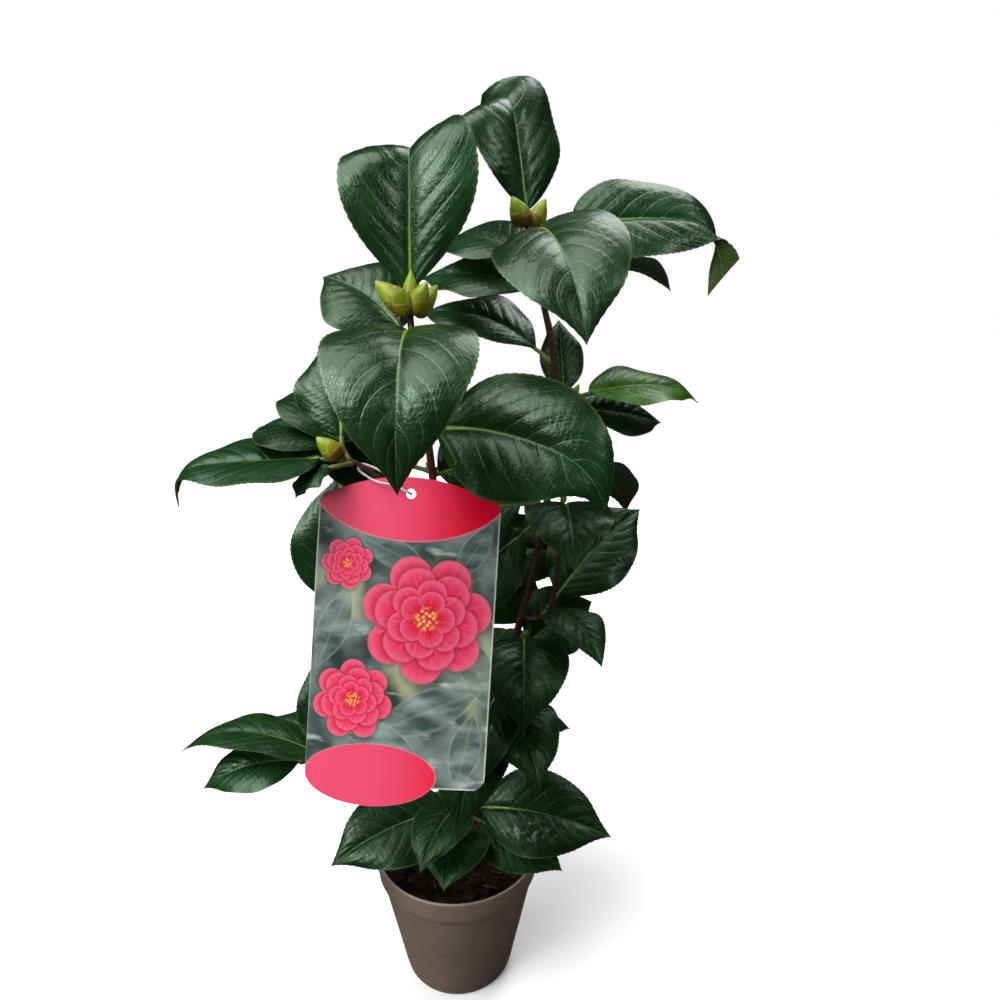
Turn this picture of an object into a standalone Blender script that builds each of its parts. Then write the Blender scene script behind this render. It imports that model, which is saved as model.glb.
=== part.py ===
"""Young camellia in a round nursery pot, with the picture label that hangs on it.

Lengths are in metres, +Z is up and -Y is the front. The origin is the middle of the pot's flat
underside. Angles are in degrees: "toward" is a compass angle seen from above (0 is +X, 90 is +Y),
and "rise" is the angle above the level.
"""

import math
import random

import bmesh
import bpy
import numpy as np
from mathutils import Matrix, Vector

MM = 0.001
GAP = 0.3 * MM  # clearance between neighbouring solids

# Pot and compost
POT_HEIGHT = 74 * MM
POT_RIM_RADIUS = 45 * MM
POT_BAND_DEPTH = 12 * MM
POT_BAND_STEP = 2.2 * MM
POT_BASE_RADIUS = 30 * MM
POT_WALL = 1.6 * MM
POT_FLOOR = 2.0 * MM
POT_SIDES = 40
DRAIN_HOLES = 4
DRAIN_RADIUS = 3.5 * MM
DRAIN_RING = 19 * MM
SOIL_BELOW_RIM = 8 * MM
SOIL_CROWN = 1.5 * MM

# Woody parts
TRUNK_FOOT_RADIUS = 4.6 * MM
TRUNK_RADIUS = 2.7 * MM
BOUGH_RADIUS = 2.0 * MM
SHOOT_RADIUS = 1.7 * MM
SHOOT_TIP_RADIUS = 1.3 * MM
TWIG_RADIUS = 1.2 * MM
LIMB_SIDES = 8

# Leaves
LEAF_THICK = 1.0 * MM
PETIOLE_RADIUS = 1.1 * MM
FLAT_STATIONS = (0.03, 0.18, 0.40, 0.64, 0.86, 1.0)
CURLED_STATIONS = (0.03, 0.15, 0.32, 0.48, 0.62, 0.76, 0.90, 1.0)
CURLED_FROM = 75  # degrees of bending from which a leaf gets the finer stations
BLADE_COLUMNS = (-1.0, -0.5, 0.0, 0.5, 1.0)
MIDRIB_STEPS = 24
HOOK_SPAN = 0.38
HALF_CROWN = 0.22  # how far each half of a blade rounds over, as a share of its width
TIP_HALF_WIDTH = 0.45 * MM
TIP_TAPER = 1.1
SLENDERNESS = 0.56  # a leaf's width over its length
GOLDEN_SHARE = 0.618
RULE_TWIG = (12 * MM, 22 * MM)  # length of the twigs that the rule adds
RULE_LEAF = (56, 78)  # length of their leaves, in millimetres
PROBE_STATIONS = (0.08, 0.22, 0.36, 0.50, 0.64, 0.78, 0.90, 1.0)
TWIG_PROBE_FROM = 18  # the probe points of a twig nearer its stem than this are left out
CLEARANCE = 6.5 * MM  # between the probe points of two leaves
UNION_SOLVER = "EXACT"
SHARP_ANGLE = 40  # degrees between faces from which an edge is shaded sharp

# Label
LABEL_MIDDLE = Vector((-14.7, -79.6, 234)) * MM
LABEL_LEAN = 14  # degrees; the foot of the label stands forward
LABEL_TURN = -3.5
LABEL_WIDTH = 71 * MM
LABEL_HEIGHT = 114 * MM
LABEL_THICK = 0.8 * MM
LABEL_CORNER = 5 * MM
LABEL_ARCH = 7 * MM
ARCH_STEPS = 8
LOBE_X = -9.4 * MM
LOBE_WIDTH = 51.2 * MM
LOBE_DEPTH = 12 * MM
LOBE_UP = 4 * MM
HOLE_ACROSS = 0 * MM
HOLE_UP = 57.5 * MM
LABEL_HOLE = 2.0 * MM
LOOP_AT = 0.76
LOOP_STEPS = 24
LOOP_SIDES = 6
LOOP_PAST = 4.5 * MM
LOOP_WIDTH = 5.0 * MM
LOOP_RADIUS = 0.5 * MM

COLOURS = {
    "leaf": (0.012, 0.060, 0.014, 1.0),
    "bark": (0.085, 0.028, 0.016, 1.0),
    "bud": (0.28, 0.34, 0.04, 1.0),
    "pot": (0.200, 0.150, 0.120, 1.0),
    "soil": (0.020, 0.012, 0.008, 1.0),
    "card": (0.78, 0.10, 0.20, 1.0),
    "loop": (0.85, 0.85, 0.83, 1.0),
}


# ---------------------------------------------------------------- small helpers
def heading(toward, rise):
    """Unit vector for a compass angle and a rise, both in degrees."""
    t = math.radians(toward)
    r = math.radians(rise)
    return Vector((math.cos(r) * math.cos(t), math.cos(r) * math.sin(t), math.sin(r)))


def smooth(low, high, x):
    """0 below low, 1 above high, and a soft step between them."""
    x = min(1.0, max(0.0, (x - low) / (high - low)))
    return x * x * (3 - 2 * x)


def material(name, roughness, metallic=0.0):
    made = bpy.data.materials.get(name)
    if made is None:
        made = bpy.data.materials.new(name)
        made.use_nodes = True
        shader = made.node_tree.nodes["Principled BSDF"]
        shader.inputs["Base Color"].default_value = COLOURS[name]
        shader.inputs["Roughness"].default_value = roughness
        shader.inputs["Metallic"].default_value = metallic
    return made


def shade(mesh):
    mesh.shade_smooth()
    mesh.set_sharp_from_angle(angle=math.radians(SHARP_ANGLE))


def new_object(name, points, faces, finish=None):
    mesh = bpy.data.meshes.new(name)
    mesh.from_pydata(points, [], faces)
    mesh.validate()
    shade(mesh)
    if finish:
        mesh.materials.append(finish)
    made = bpy.data.objects.new(name, mesh)
    bpy.context.scene.collection.objects.link(made)
    return made


def skin(rings):
    """Points and faces of a closed body lofted through rings that have equal counts."""
    count = len(rings[0])
    points = [p for ring in rings for p in ring]
    faces = []
    for k in range(len(rings) - 1):
        for i in range(count):
            j = (i + 1) % count
            low = k * count
            faces.append((low + i, low + j, low + count + j, low + count + i))
    faces.append(tuple(reversed(range(count))))
    faces.append(tuple((len(rings) - 1) * count + i for i in range(count)))
    return points, faces


# ---------------------------------------------------------------- limbs
def limb(start, leave, end, arrive, radii, steps=10, flare=None):
    """A tapering limb on one smooth curve. leave and arrive are (toward, rise) at its two ends."""
    start = Vector(start)
    end = Vector(end)
    reach = (end - start).length
    d0 = heading(*leave) * reach
    d1 = heading(*arrive) * reach
    spine = []
    sizes = []
    for k in range(steps + 1):
        t = k / steps
        spine.append(
            start * (2 * t**3 - 3 * t**2 + 1)
            + d0 * (t**3 - 2 * t**2 + t)
            + end * (3 * t**2 - 2 * t**3)
            + d1 * (t**3 - t**2)
        )
        size = radii[0] + (radii[1] - radii[0]) * t
        if flare:
            size += (flare - radii[0]) * (1 - smooth(0, 0.16, t))
        sizes.append(size)
    return {"spine": spine, "radii": sizes, "leave": heading(*leave)}


def along(stem, at):
    """Point, direction and radius of a limb at a share of its length."""
    spine = stem["spine"]
    place = min(0.9999, max(0.0, at)) * (len(spine) - 1)
    k = int(place)
    f = place - k
    point = spine[k].lerp(spine[k + 1], f)
    radius = stem["radii"][k] * (1 - f) + stem["radii"][k + 1] * f
    return point, (spine[k + 1] - spine[k]).normalized(), radius


def tube(stem, sides):
    """Closed tube round a limb, cut square at both ends."""
    spine = stem["spine"]
    rings = []
    side = Vector((1, 0, 0))
    for k, point in enumerate(spine):
        ahead = (spine[min(k + 1, len(spine) - 1)] - spine[max(k - 1, 0)]).normalized()
        if k == 0:
            ahead = stem["leave"]
        side = (side - ahead * side.dot(ahead)).normalized()
        across = ahead.cross(side)
        size = stem["radii"][k]
        ring = []
        for i in range(sides):
            a = 2 * math.pi * i / sides
            ring.append(point + side * (math.cos(a) * size) + across * (math.sin(a) * size))
        rings.append(ring)
    return skin(rings)


def side_shoot(parent, at, toward, end, arrive, radii=(TWIG_RADIUS, TWIG_RADIUS * 0.8), steps=6):
    """A shoot that starts level, just clear of its parent limb, and bends to its end."""
    point, ahead, radius = along(parent, at)
    out = heading(toward, 0)
    out = (out - ahead * out.dot(ahead)).normalized()
    start = point + out * (radius + GAP)
    rise = math.degrees(math.asin(out.z))
    return limb(start, (toward, rise), end, arrive, radii, steps)


# ---------------------------------------------------------------- leaves and buds
def leaf(
    at,
    toward,
    rise,
    droop,
    long,
    wide=None,
    roll=0,
    fold=14,
    hook=0,
    bend=0.62,
    skew=0,
    neck=0,
    sway=0,
    twist=0,
    petiole=9,
    taper=0.78,
):
    """One leaf's design. long, wide and petiole are in millimetres, and the angles in degrees.

    at      share of the shoot's length where it grows
    rise    of the blade's base; neck is how much steeper the petiole stands
    droop   how far the midrib turns down from base to tip; hook is more of it, from bend onwards
    skew    how much later along the blade its right side hooks than its left
    roll    tilt of the blade about its midrib; twist is more of it towards the tip
    fold    how far each half stands up from the midrib; sway bends the midrib sideways
    taper   0.6 gives the blade a round base, and 1.1 a wedge-shaped one
    """
    return {
        "at": at,
        "toward": toward,
        "rise": rise,
        "droop": droop,
        "long": long * MM,
        "wide": (wide if wide else long * SLENDERNESS) * MM,
        "roll": roll,
        "fold": fold,
        "hook": hook,
        "bend": bend,
        "skew": skew,
        "neck": neck,
        "sway": sway,
        "twist": twist,
        "petiole": petiole * MM,
        "taper": taper,
    }


def blade_outline(t, taper):
    """Half width of the blade as a share of its greatest, at a share of its length."""
    sharp = TIP_TAPER
    widest = taper / (taper + sharp)
    peak = widest**taper * (1 - widest) ** sharp
    shape = max(t, 1e-6) ** taper * max(1 - t, 0) ** sharp / peak
    return shape * (1 - 0.35 * smooth(0.75, 1.0, t))


def midrib_heading(spec, t, q=0.0):
    """Direction in which the blade runs at a share of its length, at q from -1 (left) to 1 (right)."""
    neck = spec["neck"] * (1 - smooth(0, 0.12, t))
    bend = spec["bend"] + spec["skew"] * q
    curl = spec["hook"] * smooth(bend, bend + HOOK_SPAN, t)
    return heading(spec["toward"] + spec["sway"] * t, spec["rise"] + neck - spec["droop"] * t - curl)


def leaf_frames(stem, spec, stations, q=0.0):
    """(share, point, side, up) along the petiole and blade; the share is below 0 on the petiole."""
    start, _, _ = along(stem, spec["at"])
    out_of_stem = heading(spec["toward"], spec["rise"] + spec["neck"])
    frames = []
    for share in (-1.0, -0.35):
        frames.append((share, start + out_of_stem * spec["petiole"] * (1 + share), out_of_stem))
    place = start + out_of_stem * spec["petiole"]
    done = 0.0
    for t in stations:
        count = max(1, round((t - done) * MIDRIB_STEPS))
        for k in range(count):
            middle = done + (t - done) * (k + 0.5) / count
            place = place + midrib_heading(spec, middle, q) * (spec["long"] * (t - done) / count)
        done = t
        frames.append((t, place, midrib_heading(spec, t, q)))
    turned_frames = []
    for share, place, ahead in frames:
        t = max(share, 0.0)
        across = math.radians(spec["toward"] + spec["sway"] * t)
        side = Vector((math.sin(across), -math.cos(across), 0))
        tilt = Matrix.Rotation(math.radians(spec["roll"] + spec["twist"] * t), 3, ahead)
        turned_frames.append((share, place, tilt @ side, tilt @ side.cross(ahead)))
    return turned_frames


def blade_point(spec, frame, q):
    """Middle of the blade's thickness at q from -1 to 1: each half stands up and rounds over."""
    share, place, side, up = frame
    half = max(spec["wide"] / 2 * blade_outline(share, spec["taper"]), TIP_HALF_WIDTH)
    lift = math.radians(spec["fold"])
    height = abs(q) * math.sin(lift) - HALF_CROWN * q * q
    return place + side * (q * half * math.cos(lift)) + up * (half * height)


def leaf_body(stem, spec):
    """Points and faces of one leaf: petiole and blade as one closed body."""
    stations = CURLED_STATIONS if spec["droop"] + spec["hook"] > CURLED_FROM else FLAT_STATIONS
    columns = [leaf_frames(stem, spec, stations, q) for q in BLADE_COLUMNS]
    middles = [[blade_point(spec, f, q) for f in frames] for q, frames in zip(BLADE_COLUMNS, columns)]
    last = len(BLADE_COLUMNS) - 1
    rings = []
    for i in range(len(columns[0])):
        top = []
        under = []
        for j, q in enumerate(BLADE_COLUMNS):
            share, place, side, up = columns[j][i]
            if share < 0:
                middle = place + side * (q * PETIOLE_RADIUS)
                offset = up * (PETIOLE_RADIUS * (1 - 0.45 * q * q))
            else:
                middle = middles[j][i]
                ahead = middles[j][min(i + 1, len(middles[j]) - 1)] - middles[j][i - 1]
                across = middles[min(j + 1, last)][i] - middles[max(j - 1, 0)][i]
                offset = across.cross(ahead).normalized() * (LEAF_THICK / 2)
            top.append(middle + offset)
            under.append(middle - offset)
        rings.append(under + top[::-1])
    return blade_skin(rings, middles)


def blade_skin(rings, middles):
    """Points and faces of a leaf. Each cell of its top and underside is split along the same diagonal."""
    points = [p for ring in rings for p in ring]
    count = len(rings[0])
    last = len(BLADE_COLUMNS) - 1
    faces = [tuple(reversed(range(count))), tuple(range(len(points) - count, len(points)))]
    for k in range(len(rings) - 1):
        low = k * count
        high = low + count
        for j in range(last):
            rising = (middles[j + 1][k + 1] - middles[j][k]).length
            falling = (middles[j][k + 1] - middles[j + 1][k]).length
            for a, b in ((j, j + 1), (count - 1 - j, count - 2 - j)):
                if rising < falling:
                    cell = [(low + a, low + b, high + b), (low + a, high + b, high + a)]
                else:
                    cell = [(low + a, low + b, high + a), (low + b, high + b, high + a)]
                faces += cell if a < b else [face[::-1] for face in cell]
        for a, b in ((last, last + 1), (count - 1, 0)):
            faces.append((low + a, low + b, high + b, high + a))
    return points, faces


def bud_body(root, toward, rise, length, radius):
    """A pointed bud of overlapping scales, as a six-sided spindle."""
    ahead = heading(toward, rise)
    side = heading(toward + 90, 0)
    across = ahead.cross(side)
    rings = []
    for t, size in ((0.0, 0.55), (0.3, 1.0), (0.65, 0.72), (1.0, 0.10)):
        ring = []
        for i in range(6):
            a = math.pi * i / 3
            out = side * math.cos(a) + across * math.sin(a)
            ring.append(root + ahead * length * t + out * radius * size)
        rings.append(ring)
    return skin(rings)


def bud(at, toward, rise, long=12, wide=6, step=0):
    """One bud's design: length, width and the step out from the shoot's axis in millimetres."""
    return {
        "at": at,
        "toward": toward,
        "rise": rise,
        "long": long * MM,
        "radius": wide / 2 * MM,
        "step": step * MM,
    }


# ---------------------------------------------------------------- the plant's design
def skeleton():
    """Trunk and boughs as limbs, by name. Each bough starts just clear of the limb that bears it."""
    foot = Vector((0, 0, POT_HEIGHT - SOIL_BELOW_RIM + SOIL_CROWN + GAP))
    fork = Vector((12, -2, 134)) * MM
    limbs = {}
    limbs["trunk"] = limb(
        foot, (0, 90), fork, (-20, 72), (TRUNK_RADIUS, BOUGH_RADIUS), 12, TRUNK_FOOT_RADIUS
    )
    start = fork + heading(-20, 72) * GAP
    limbs["bough_right"] = limb(
        start, (-20, 72), Vector((50, 0, 320)) * MM, (100, 88), (BOUGH_RADIUS, SHOOT_RADIUS), 14
    )
    limbs["bough_left"] = side_shoot(
        limbs["trunk"], 0.93, 220, Vector((-5, -40, 289)) * MM, (-110, 74), (SHOOT_RADIUS, SHOOT_RADIUS), 14
    )
    limbs["bough_low"] = side_shoot(
        limbs["trunk"], 0.60, 165, Vector((-50, -25, 137)) * MM, (195, 22), (SHOOT_RADIUS, TWIG_RADIUS), 8
    )
    return limbs


def onward(parent, end, arrive, radii=(SHOOT_RADIUS, SHOOT_TIP_RADIUS), steps=8):
    """A stem that carries on from a limb's tip, just clear of it."""
    tip = parent["spine"][-1]
    ahead = (tip - parent["spine"][-2]).normalized()
    leave = (math.degrees(math.atan2(ahead.y, ahead.x)), math.degrees(math.asin(ahead.z)))
    return limb(tip + ahead * GAP, leave, end, arrive, radii, steps)


def masses(limbs):
    """Each mass of foliage by name: its stem, its leaves and buds, and what the rule adds and where.

    around is the middle and the spread of the directions into which the rule's leaves may point.
    """
    right = limbs["bough_right"]
    left = limbs["bough_left"]
    trunk = limbs["trunk"]
    plan = {}

    plan["foliage_left_crown"] = {
        "stem": onward(left, Vector((-11, -55, 360)) * MM, (-100, 80)),
        "leaves": [
            leaf(0.96, 92, 79, 10, 94, 58, fold=24, hook=105, bend=0.45, skew=0.10, taper=1.0),
            leaf(0.86, -89, 8, 108, 83, 55, fold=16, taper=0.65),
            leaf(0.80, 148, 47, 40, 47, 44, roll=-36),
            leaf(0.62, 130, 8, 30, 44, 30, roll=-35),
            leaf(0.32, -24, 8, 46, 84, 58, roll=55, hook=35, petiole=5),
            leaf(0.06, 176, 14, 24, 44, 32, roll=-50, fold=10),
            leaf(0.03, 32, 14, 30, 46, 40, roll=58, petiole=3),
        ],
        "buds": [
            bud(0.99, 165, 40, 17, 8.5, 2),
            bud(0.97, -118, 50, 13, 8, 2),
            bud(1.00, 60, 82, 14, 6),
            bud(0.97, -35, 55, 14, 7.5, 2),
            bud(0.96, 15, 50, 15, 7.5, 3),
        ],
        "seed": 3,
        "extra": 2,
        "around": (120, 25),
    }
    plan["foliage_left_shoot"] = {
        "stem": side_shoot(left, 0.93, 245, Vector((-38, -66, 304)) * MM, (180, 10)),
        "leaves": [
            leaf(0.97, 184, 1, 10, 66, 45, roll=-14, hook=84, bend=0.62, taper=0.5),
            leaf(0.95, 150, 30, 48, 42, 40, roll=-15),
            leaf(0.93, 128, 42, 40, 47, 36),
            leaf(0.98, 105, 66, 20, 46, 36, roll=-20),
            leaf(0.90, 205, -8, 60, 18, 20, roll=-10),
        ],
        "buds": [bud(1.0, 190, 44, 12, 7.5)],
        "seed": 5,
        "extra": 0,
        "around": (120, 40),
    }
    plan["foliage_right_crown"] = {
        "stem": onward(right, Vector((36, 1, 397)) * MM, (160, 80)),
        "leaves": [
            leaf(0.97, 121, 78, 10, 87, 47, fold=12, hook=105, bend=0.45, skew=0.15, taper=0.88),
            leaf(0.95, -81, 4, 78, 89, 54, roll=24, twist=-10, sway=13, taper=1.0),
            leaf(0.96, 0, 10, 24, 84, 46, roll=55, hook=64, bend=0.54, skew=0.12, petiole=20, taper=0.5),
            leaf(0.78, 28, 10, 30, 73, 40, hook=20, petiole=11),
            leaf(0.80, 130, 28, 40, 66, 42, roll=-28),
            leaf(0.60, 146, 24, 36, 66, 42, roll=-30),
            leaf(0.20, 150, 38, 48, 71, 42, roll=-25, petiole=12, taper=1.1),
        ],
        "buds": [bud(1.0, -150, 58, 14, 9, 2), bud(0.98, 15, 64, 15, 8, 3)],
        "seed": 8,
        "extra": 0,
        "around": (75, 30),
    }
    plan["foliage_right_upper"] = {
        "stem": side_shoot(right, 0.97, -10, Vector((58, -2, 322)) * MM, (-5, 60)),
        "leaves": [
            leaf(0.85, 14, 14, 31, 60, 39, roll=22, hook=23),
            leaf(0.35, 24, -4, 14, 48, 36, roll=35),
            leaf(0.30, 92, 58, 14, 44, 22),
        ],
        "buds": [],
        "seed": 11,
        "extra": 1,
        "around": (90, 50),
    }
    plan["foliage_right_side"] = {
        "stem": side_shoot(right, 0.42, -15, Vector((54, -7, 271)) * MM, (20, 80)),
        "leaves": [
            leaf(0.97, -90, 22, 80, 55, 40),
            leaf(0.28, 36, 44, 25, 68, 44, roll=38),
            leaf(0.20, -64, 28, 78, 49, 27),
        ],
        "buds": [],
        "seed": 13,
        "extra": 0,
        "around": (60, 40),
    }
    plan["foliage_lower_right"] = {
        "stem": side_shoot(right, 0.30, -75, Vector((36, -14, 204)) * MM, (-80, 50)),
        "leaves": [
            leaf(0.90, -92, 25, 105, 56, 42),
            leaf(0.40, 22, 40, 30, 40, 38, roll=50),
        ],
        "buds": [],
        "seed": 17,
        "extra": 0,
        "around": (0, 60),
    }
    plan["foliage_lower_front"] = {
        "stem": side_shoot(right, 0.10, -90, Vector((25, -15, 176)) * MM, (-70, 60)),
        "leaves": [
            leaf(0.90, -73, 12, 62, 53, 37),
            leaf(0.45, 8, -4, 30, 34, 28),
            leaf(0.95, -104, 20, 90, 58, 34),
            leaf(0.40, -104, 15, 80, 62, 36),
        ],
        "buds": [],
        "seed": 19,
        "extra": 0,
        "around": (0, 60),
    }
    plan["foliage_base"] = {
        "stem": side_shoot(trunk, 0.32, -60, Vector((5, -12, 106)) * MM, (-80, 70)),
        "leaves": [
            leaf(0.90, -16, 14, 32, 70, 46, roll=35),
            leaf(0.60, -30, 2, 26, 50, 36, roll=25),
            leaf(0.85, -153, 14, 44, 66, 44, roll=-30),
            leaf(0.95, -112, 32, 75, 46, 30),
            leaf(0.50, -100, 22, 60, 42, 36),
        ],
        "buds": [],
        "seed": 23,
        "extra": 0,
        "around": (0, 60),
    }
    plan["foliage_lower_left"] = {
        "stem": onward(
            limbs["bough_low"], Vector((-72, -30, 145)) * MM, (200, 20), (TWIG_RADIUS, TWIG_RADIUS)
        ),
        "leaves": [
            leaf(0.30, 180, 37, 60, 77, 36, roll=4, hook=14, bend=0.5),
            leaf(0.98, 194, 17, 53, 47, 32, roll=-20, petiole=4),
            leaf(0.20, 150, 30, 40, 46, 32),
            leaf(0.20, 125, 62, 30, 48, 34),
            leaf(0.60, -70, 28, 50, 24, 20),
        ],
        "buds": [bud(1.0, 170, 40, 8, 5)],
        "seed": 29,
        "extra": 0,
        "around": (150, 60),
    }
    plan["foliage_left_side"] = {
        "stem": side_shoot(left, 0.50, 200, Vector((-52, -32, 221)) * MM, (190, 50)),
        "leaves": [
            leaf(0.97, 96, 76, 20, 62, 44),
            leaf(0.60, 115, 25, 50, 42, 34),
        ],
        "buds": [],
        "seed": 31,
        "extra": 1,
        "around": (120, 40),
    }
    plan["foliage_back"] = {
        "stem": side_shoot(right, 0.62, 95, Vector((46, 30, 300)) * MM, (100, 75)),
        "leaves": [
            leaf(0.30, 184, -38, 8, 68, 46, roll=-60),
            leaf(0.45, 178, 0, 30, 50, 44, roll=-60),
        ],
        "buds": [],
        "seed": 37,
        "extra": 5,
        "around": (112, 58),
    }
    plan["foliage_back_left"] = {
        "stem": side_shoot(left, 0.36, 120, Vector((-14, 26, 240)) * MM, (120, 70)),
        "leaves": [
            leaf(0.9, 8, -20, 20, 66, 46, roll=55),
            leaf(0.96, 6, 2, 12, 80, 44, roll=52),
        ],
        "buds": [],
        "seed": 41,
        "extra": 5,
        "around": (108, 62),
    }
    plan["foliage_back_low"] = {
        "stem": side_shoot(trunk, 0.72, 95, Vector((14, 30, 156)) * MM, (80, 70)),
        "leaves": [],
        "buds": [],
        "seed": 43,
        "extra": 6,
        "around": (112, 62),
    }
    return plan


# ---------------------------------------------------------------- leaves that the rule adds
def probe(stem, spec):
    """Points spread over one leaf, by which it is kept clear of the others."""
    points = []
    for q in BLADE_COLUMNS:
        for frame in leaf_frames(stem, spec, PROBE_STATIONS, q):
            if frame[0] > 0:
                points.append(blade_point(spec, frame, q))
    return points


def limb_probe(stem):
    """Points along a limb, close enough that no leaf passes between them."""
    return [along(stem, k / 24)[0] for k in range(25)]


def has_room(points, taken, clearance):
    gaps = np.linalg.norm(np.array(points)[:, None, :] - taken[None, :, :], axis=2)
    return gaps.min() > clearance


def grow(plan, limbs):
    """Adds the rule's leaves: a golden angle apart up each stem, on short twigs, wherever there is room."""
    taken = [p for stem in limbs.values() for p in limb_probe(stem)]
    for mass in plan.values():
        mass["twigs"] = []
        taken += limb_probe(mass["stem"])
        for spec in mass["leaves"]:
            taken += probe(mass["stem"], spec)
    taken = np.array(taken)
    for mass in plan.values():
        chance = random.Random(mass["seed"])
        for k in range(mass["extra"] * 4):
            at = 0.20 + 0.75 * ((k * GOLDEN_SHARE) % 1.0)
            middle, spread = mass["around"]
            turn = 2 * ((k * GOLDEN_SHARE * 3 + 0.5) % 1.0) - 1
            toward = middle + spread * turn + chance.uniform(-12, 12)
            point, _, _ = along(mass["stem"], at)
            end = point + heading(toward, 35) * chance.uniform(*RULE_TWIG)
            twig = limb(point, (toward, 15), end, (toward, 45), (TWIG_RADIUS, TWIG_RADIUS * 0.8), 3)
            spec = leaf(
                0.98,
                toward + chance.uniform(-20, 20),
                chance.uniform(0, 30),
                chance.uniform(35, 70),
                chance.uniform(*RULE_LEAF),
                roll=chance.uniform(-15, 15),
                hook=chance.uniform(0, 25),
            )
            if len(mass["twigs"]) < mass["extra"] and end.z > POT_HEIGHT + 8 * MM:
                points = probe(twig, spec) + limb_probe(twig)[TWIG_PROBE_FROM:]
                if has_room(points, taken, CLEARANCE):
                    mass["twigs"].append((twig, spec))
                    taken = np.concatenate([taken, np.array(points)])


# ---------------------------------------------------------------- solids
def turned(name, profile, finish):
    """Solid of revolution about Z. The profile's first and last (radius, height) lie on the axis."""
    shape = bmesh.new()
    points = [shape.verts.new((radius, 0, height)) for radius, height in profile]
    edges = [shape.edges.new(pair) for pair in zip(points, points[1:])]
    bmesh.ops.spin(
        shape,
        geom=points + edges,
        cent=(0, 0, 0),
        axis=(0, 0, 1),
        angle=2 * math.pi,
        steps=POT_SIDES,
        use_merge=True,
    )
    bmesh.ops.remove_doubles(shape, verts=shape.verts, dist=1e-6)
    bmesh.ops.recalc_face_normals(shape, faces=shape.faces)
    mesh = bpy.data.meshes.new(name)
    shape.to_mesh(mesh)
    shape.free()
    shade(mesh)
    mesh.materials.append(finish)
    made = bpy.data.objects.new(name, mesh)
    bpy.context.scene.collection.objects.link(made)
    return made


def inner_radius(height):
    """Inside radius of the pot's wall at a height above its floor."""
    share = height / (POT_HEIGHT - POT_BAND_DEPTH)
    body_top = POT_RIM_RADIUS - POT_BAND_STEP
    return POT_BASE_RADIUS + (body_top - POT_BASE_RADIUS) * share - POT_WALL


def build_pot():
    """Tapered cup with a stepped-out band round its rim and drain holes in its floor."""
    body_top = POT_RIM_RADIUS - POT_BAND_STEP
    band_low = POT_HEIGHT - POT_BAND_DEPTH
    edge = 0.8 * MM
    profile = [
        (0, 0),
        (POT_BASE_RADIUS - edge, 0),
        (POT_BASE_RADIUS, edge),
        (body_top, band_low),
        (POT_RIM_RADIUS - 0.6 * MM, band_low),
        (POT_RIM_RADIUS, POT_HEIGHT - edge),
        (POT_RIM_RADIUS - edge, POT_HEIGHT),
        (POT_RIM_RADIUS - POT_WALL, POT_HEIGHT - edge),
        (inner_radius(band_low), band_low - edge),
        (inner_radius(POT_FLOOR), POT_FLOOR),
        (0, POT_FLOOR),
    ]
    pot = turned("pot", profile, material("pot", 0.55))
    for k in range(DRAIN_HOLES):
        angle = 2 * math.pi * (k + 0.5) / DRAIN_HOLES
        bpy.ops.mesh.primitive_cylinder_add(
            vertices=16,
            radius=DRAIN_RADIUS,
            depth=4 * POT_FLOOR,
            location=(math.cos(angle) * DRAIN_RING, math.sin(angle) * DRAIN_RING, POT_FLOOR / 2),
        )
        cutter = bpy.context.object
        cutter.name = f"drain_cutter_{k}"
        cutter.hide_render = True
        cutter.display_type = "WIRE"
        cut = pot.modifiers.new(f"drain_{k}", "BOOLEAN")
        cut.operation = "DIFFERENCE"
        cut.object = cutter
    return pot


def build_soil():
    """Compost that fills the pot, slightly domed and level round the trunk's foot."""
    top = POT_HEIGHT - SOIL_BELOW_RIM
    floor = POT_FLOOR + GAP
    profile = [
        (0, floor),
        (inner_radius(floor) - GAP, floor),
        (inner_radius(top - 4 * MM) - GAP, top - 4 * MM),
        (inner_radius(top - 4 * MM) - GAP, top),
        (22 * MM, top + 0.7 * SOIL_CROWN),
        (8 * MM, top + SOIL_CROWN),
        (0, top + SOIL_CROWN),
    ]
    return turned("soil", profile, material("soil", 0.95))


def build_limb(name, stem):
    points, faces = tube(stem, LIMB_SIDES)
    return new_object(name, points, faces, material("bark", 0.6))


def fill_hollows(mesh):
    """Makes a fused body solid where its leaves close off a small hollow, by removing the inner skin."""
    shape = bmesh.new()
    shape.from_mesh(mesh)
    waiting = set(shape.faces)
    while waiting:
        skin_faces = set()
        reached = [waiting.pop()]
        while reached:
            face = reached.pop()
            skin_faces.add(face)
            for edge in face.edges:
                for other in edge.link_faces:
                    if other in waiting:
                        waiting.discard(other)
                        reached.append(other)
        content = 0.0
        for face in skin_faces:
            first = face.verts[0].co
            for a, b in zip(face.verts[1:], face.verts[2:]):
                content += first.dot(a.co.cross(b.co))
        if content < 0:
            bmesh.ops.delete(shape, geom=list(skin_faces), context="FACES")
    shape.to_mesh(mesh)
    shape.free()
    shade(mesh)


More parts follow.
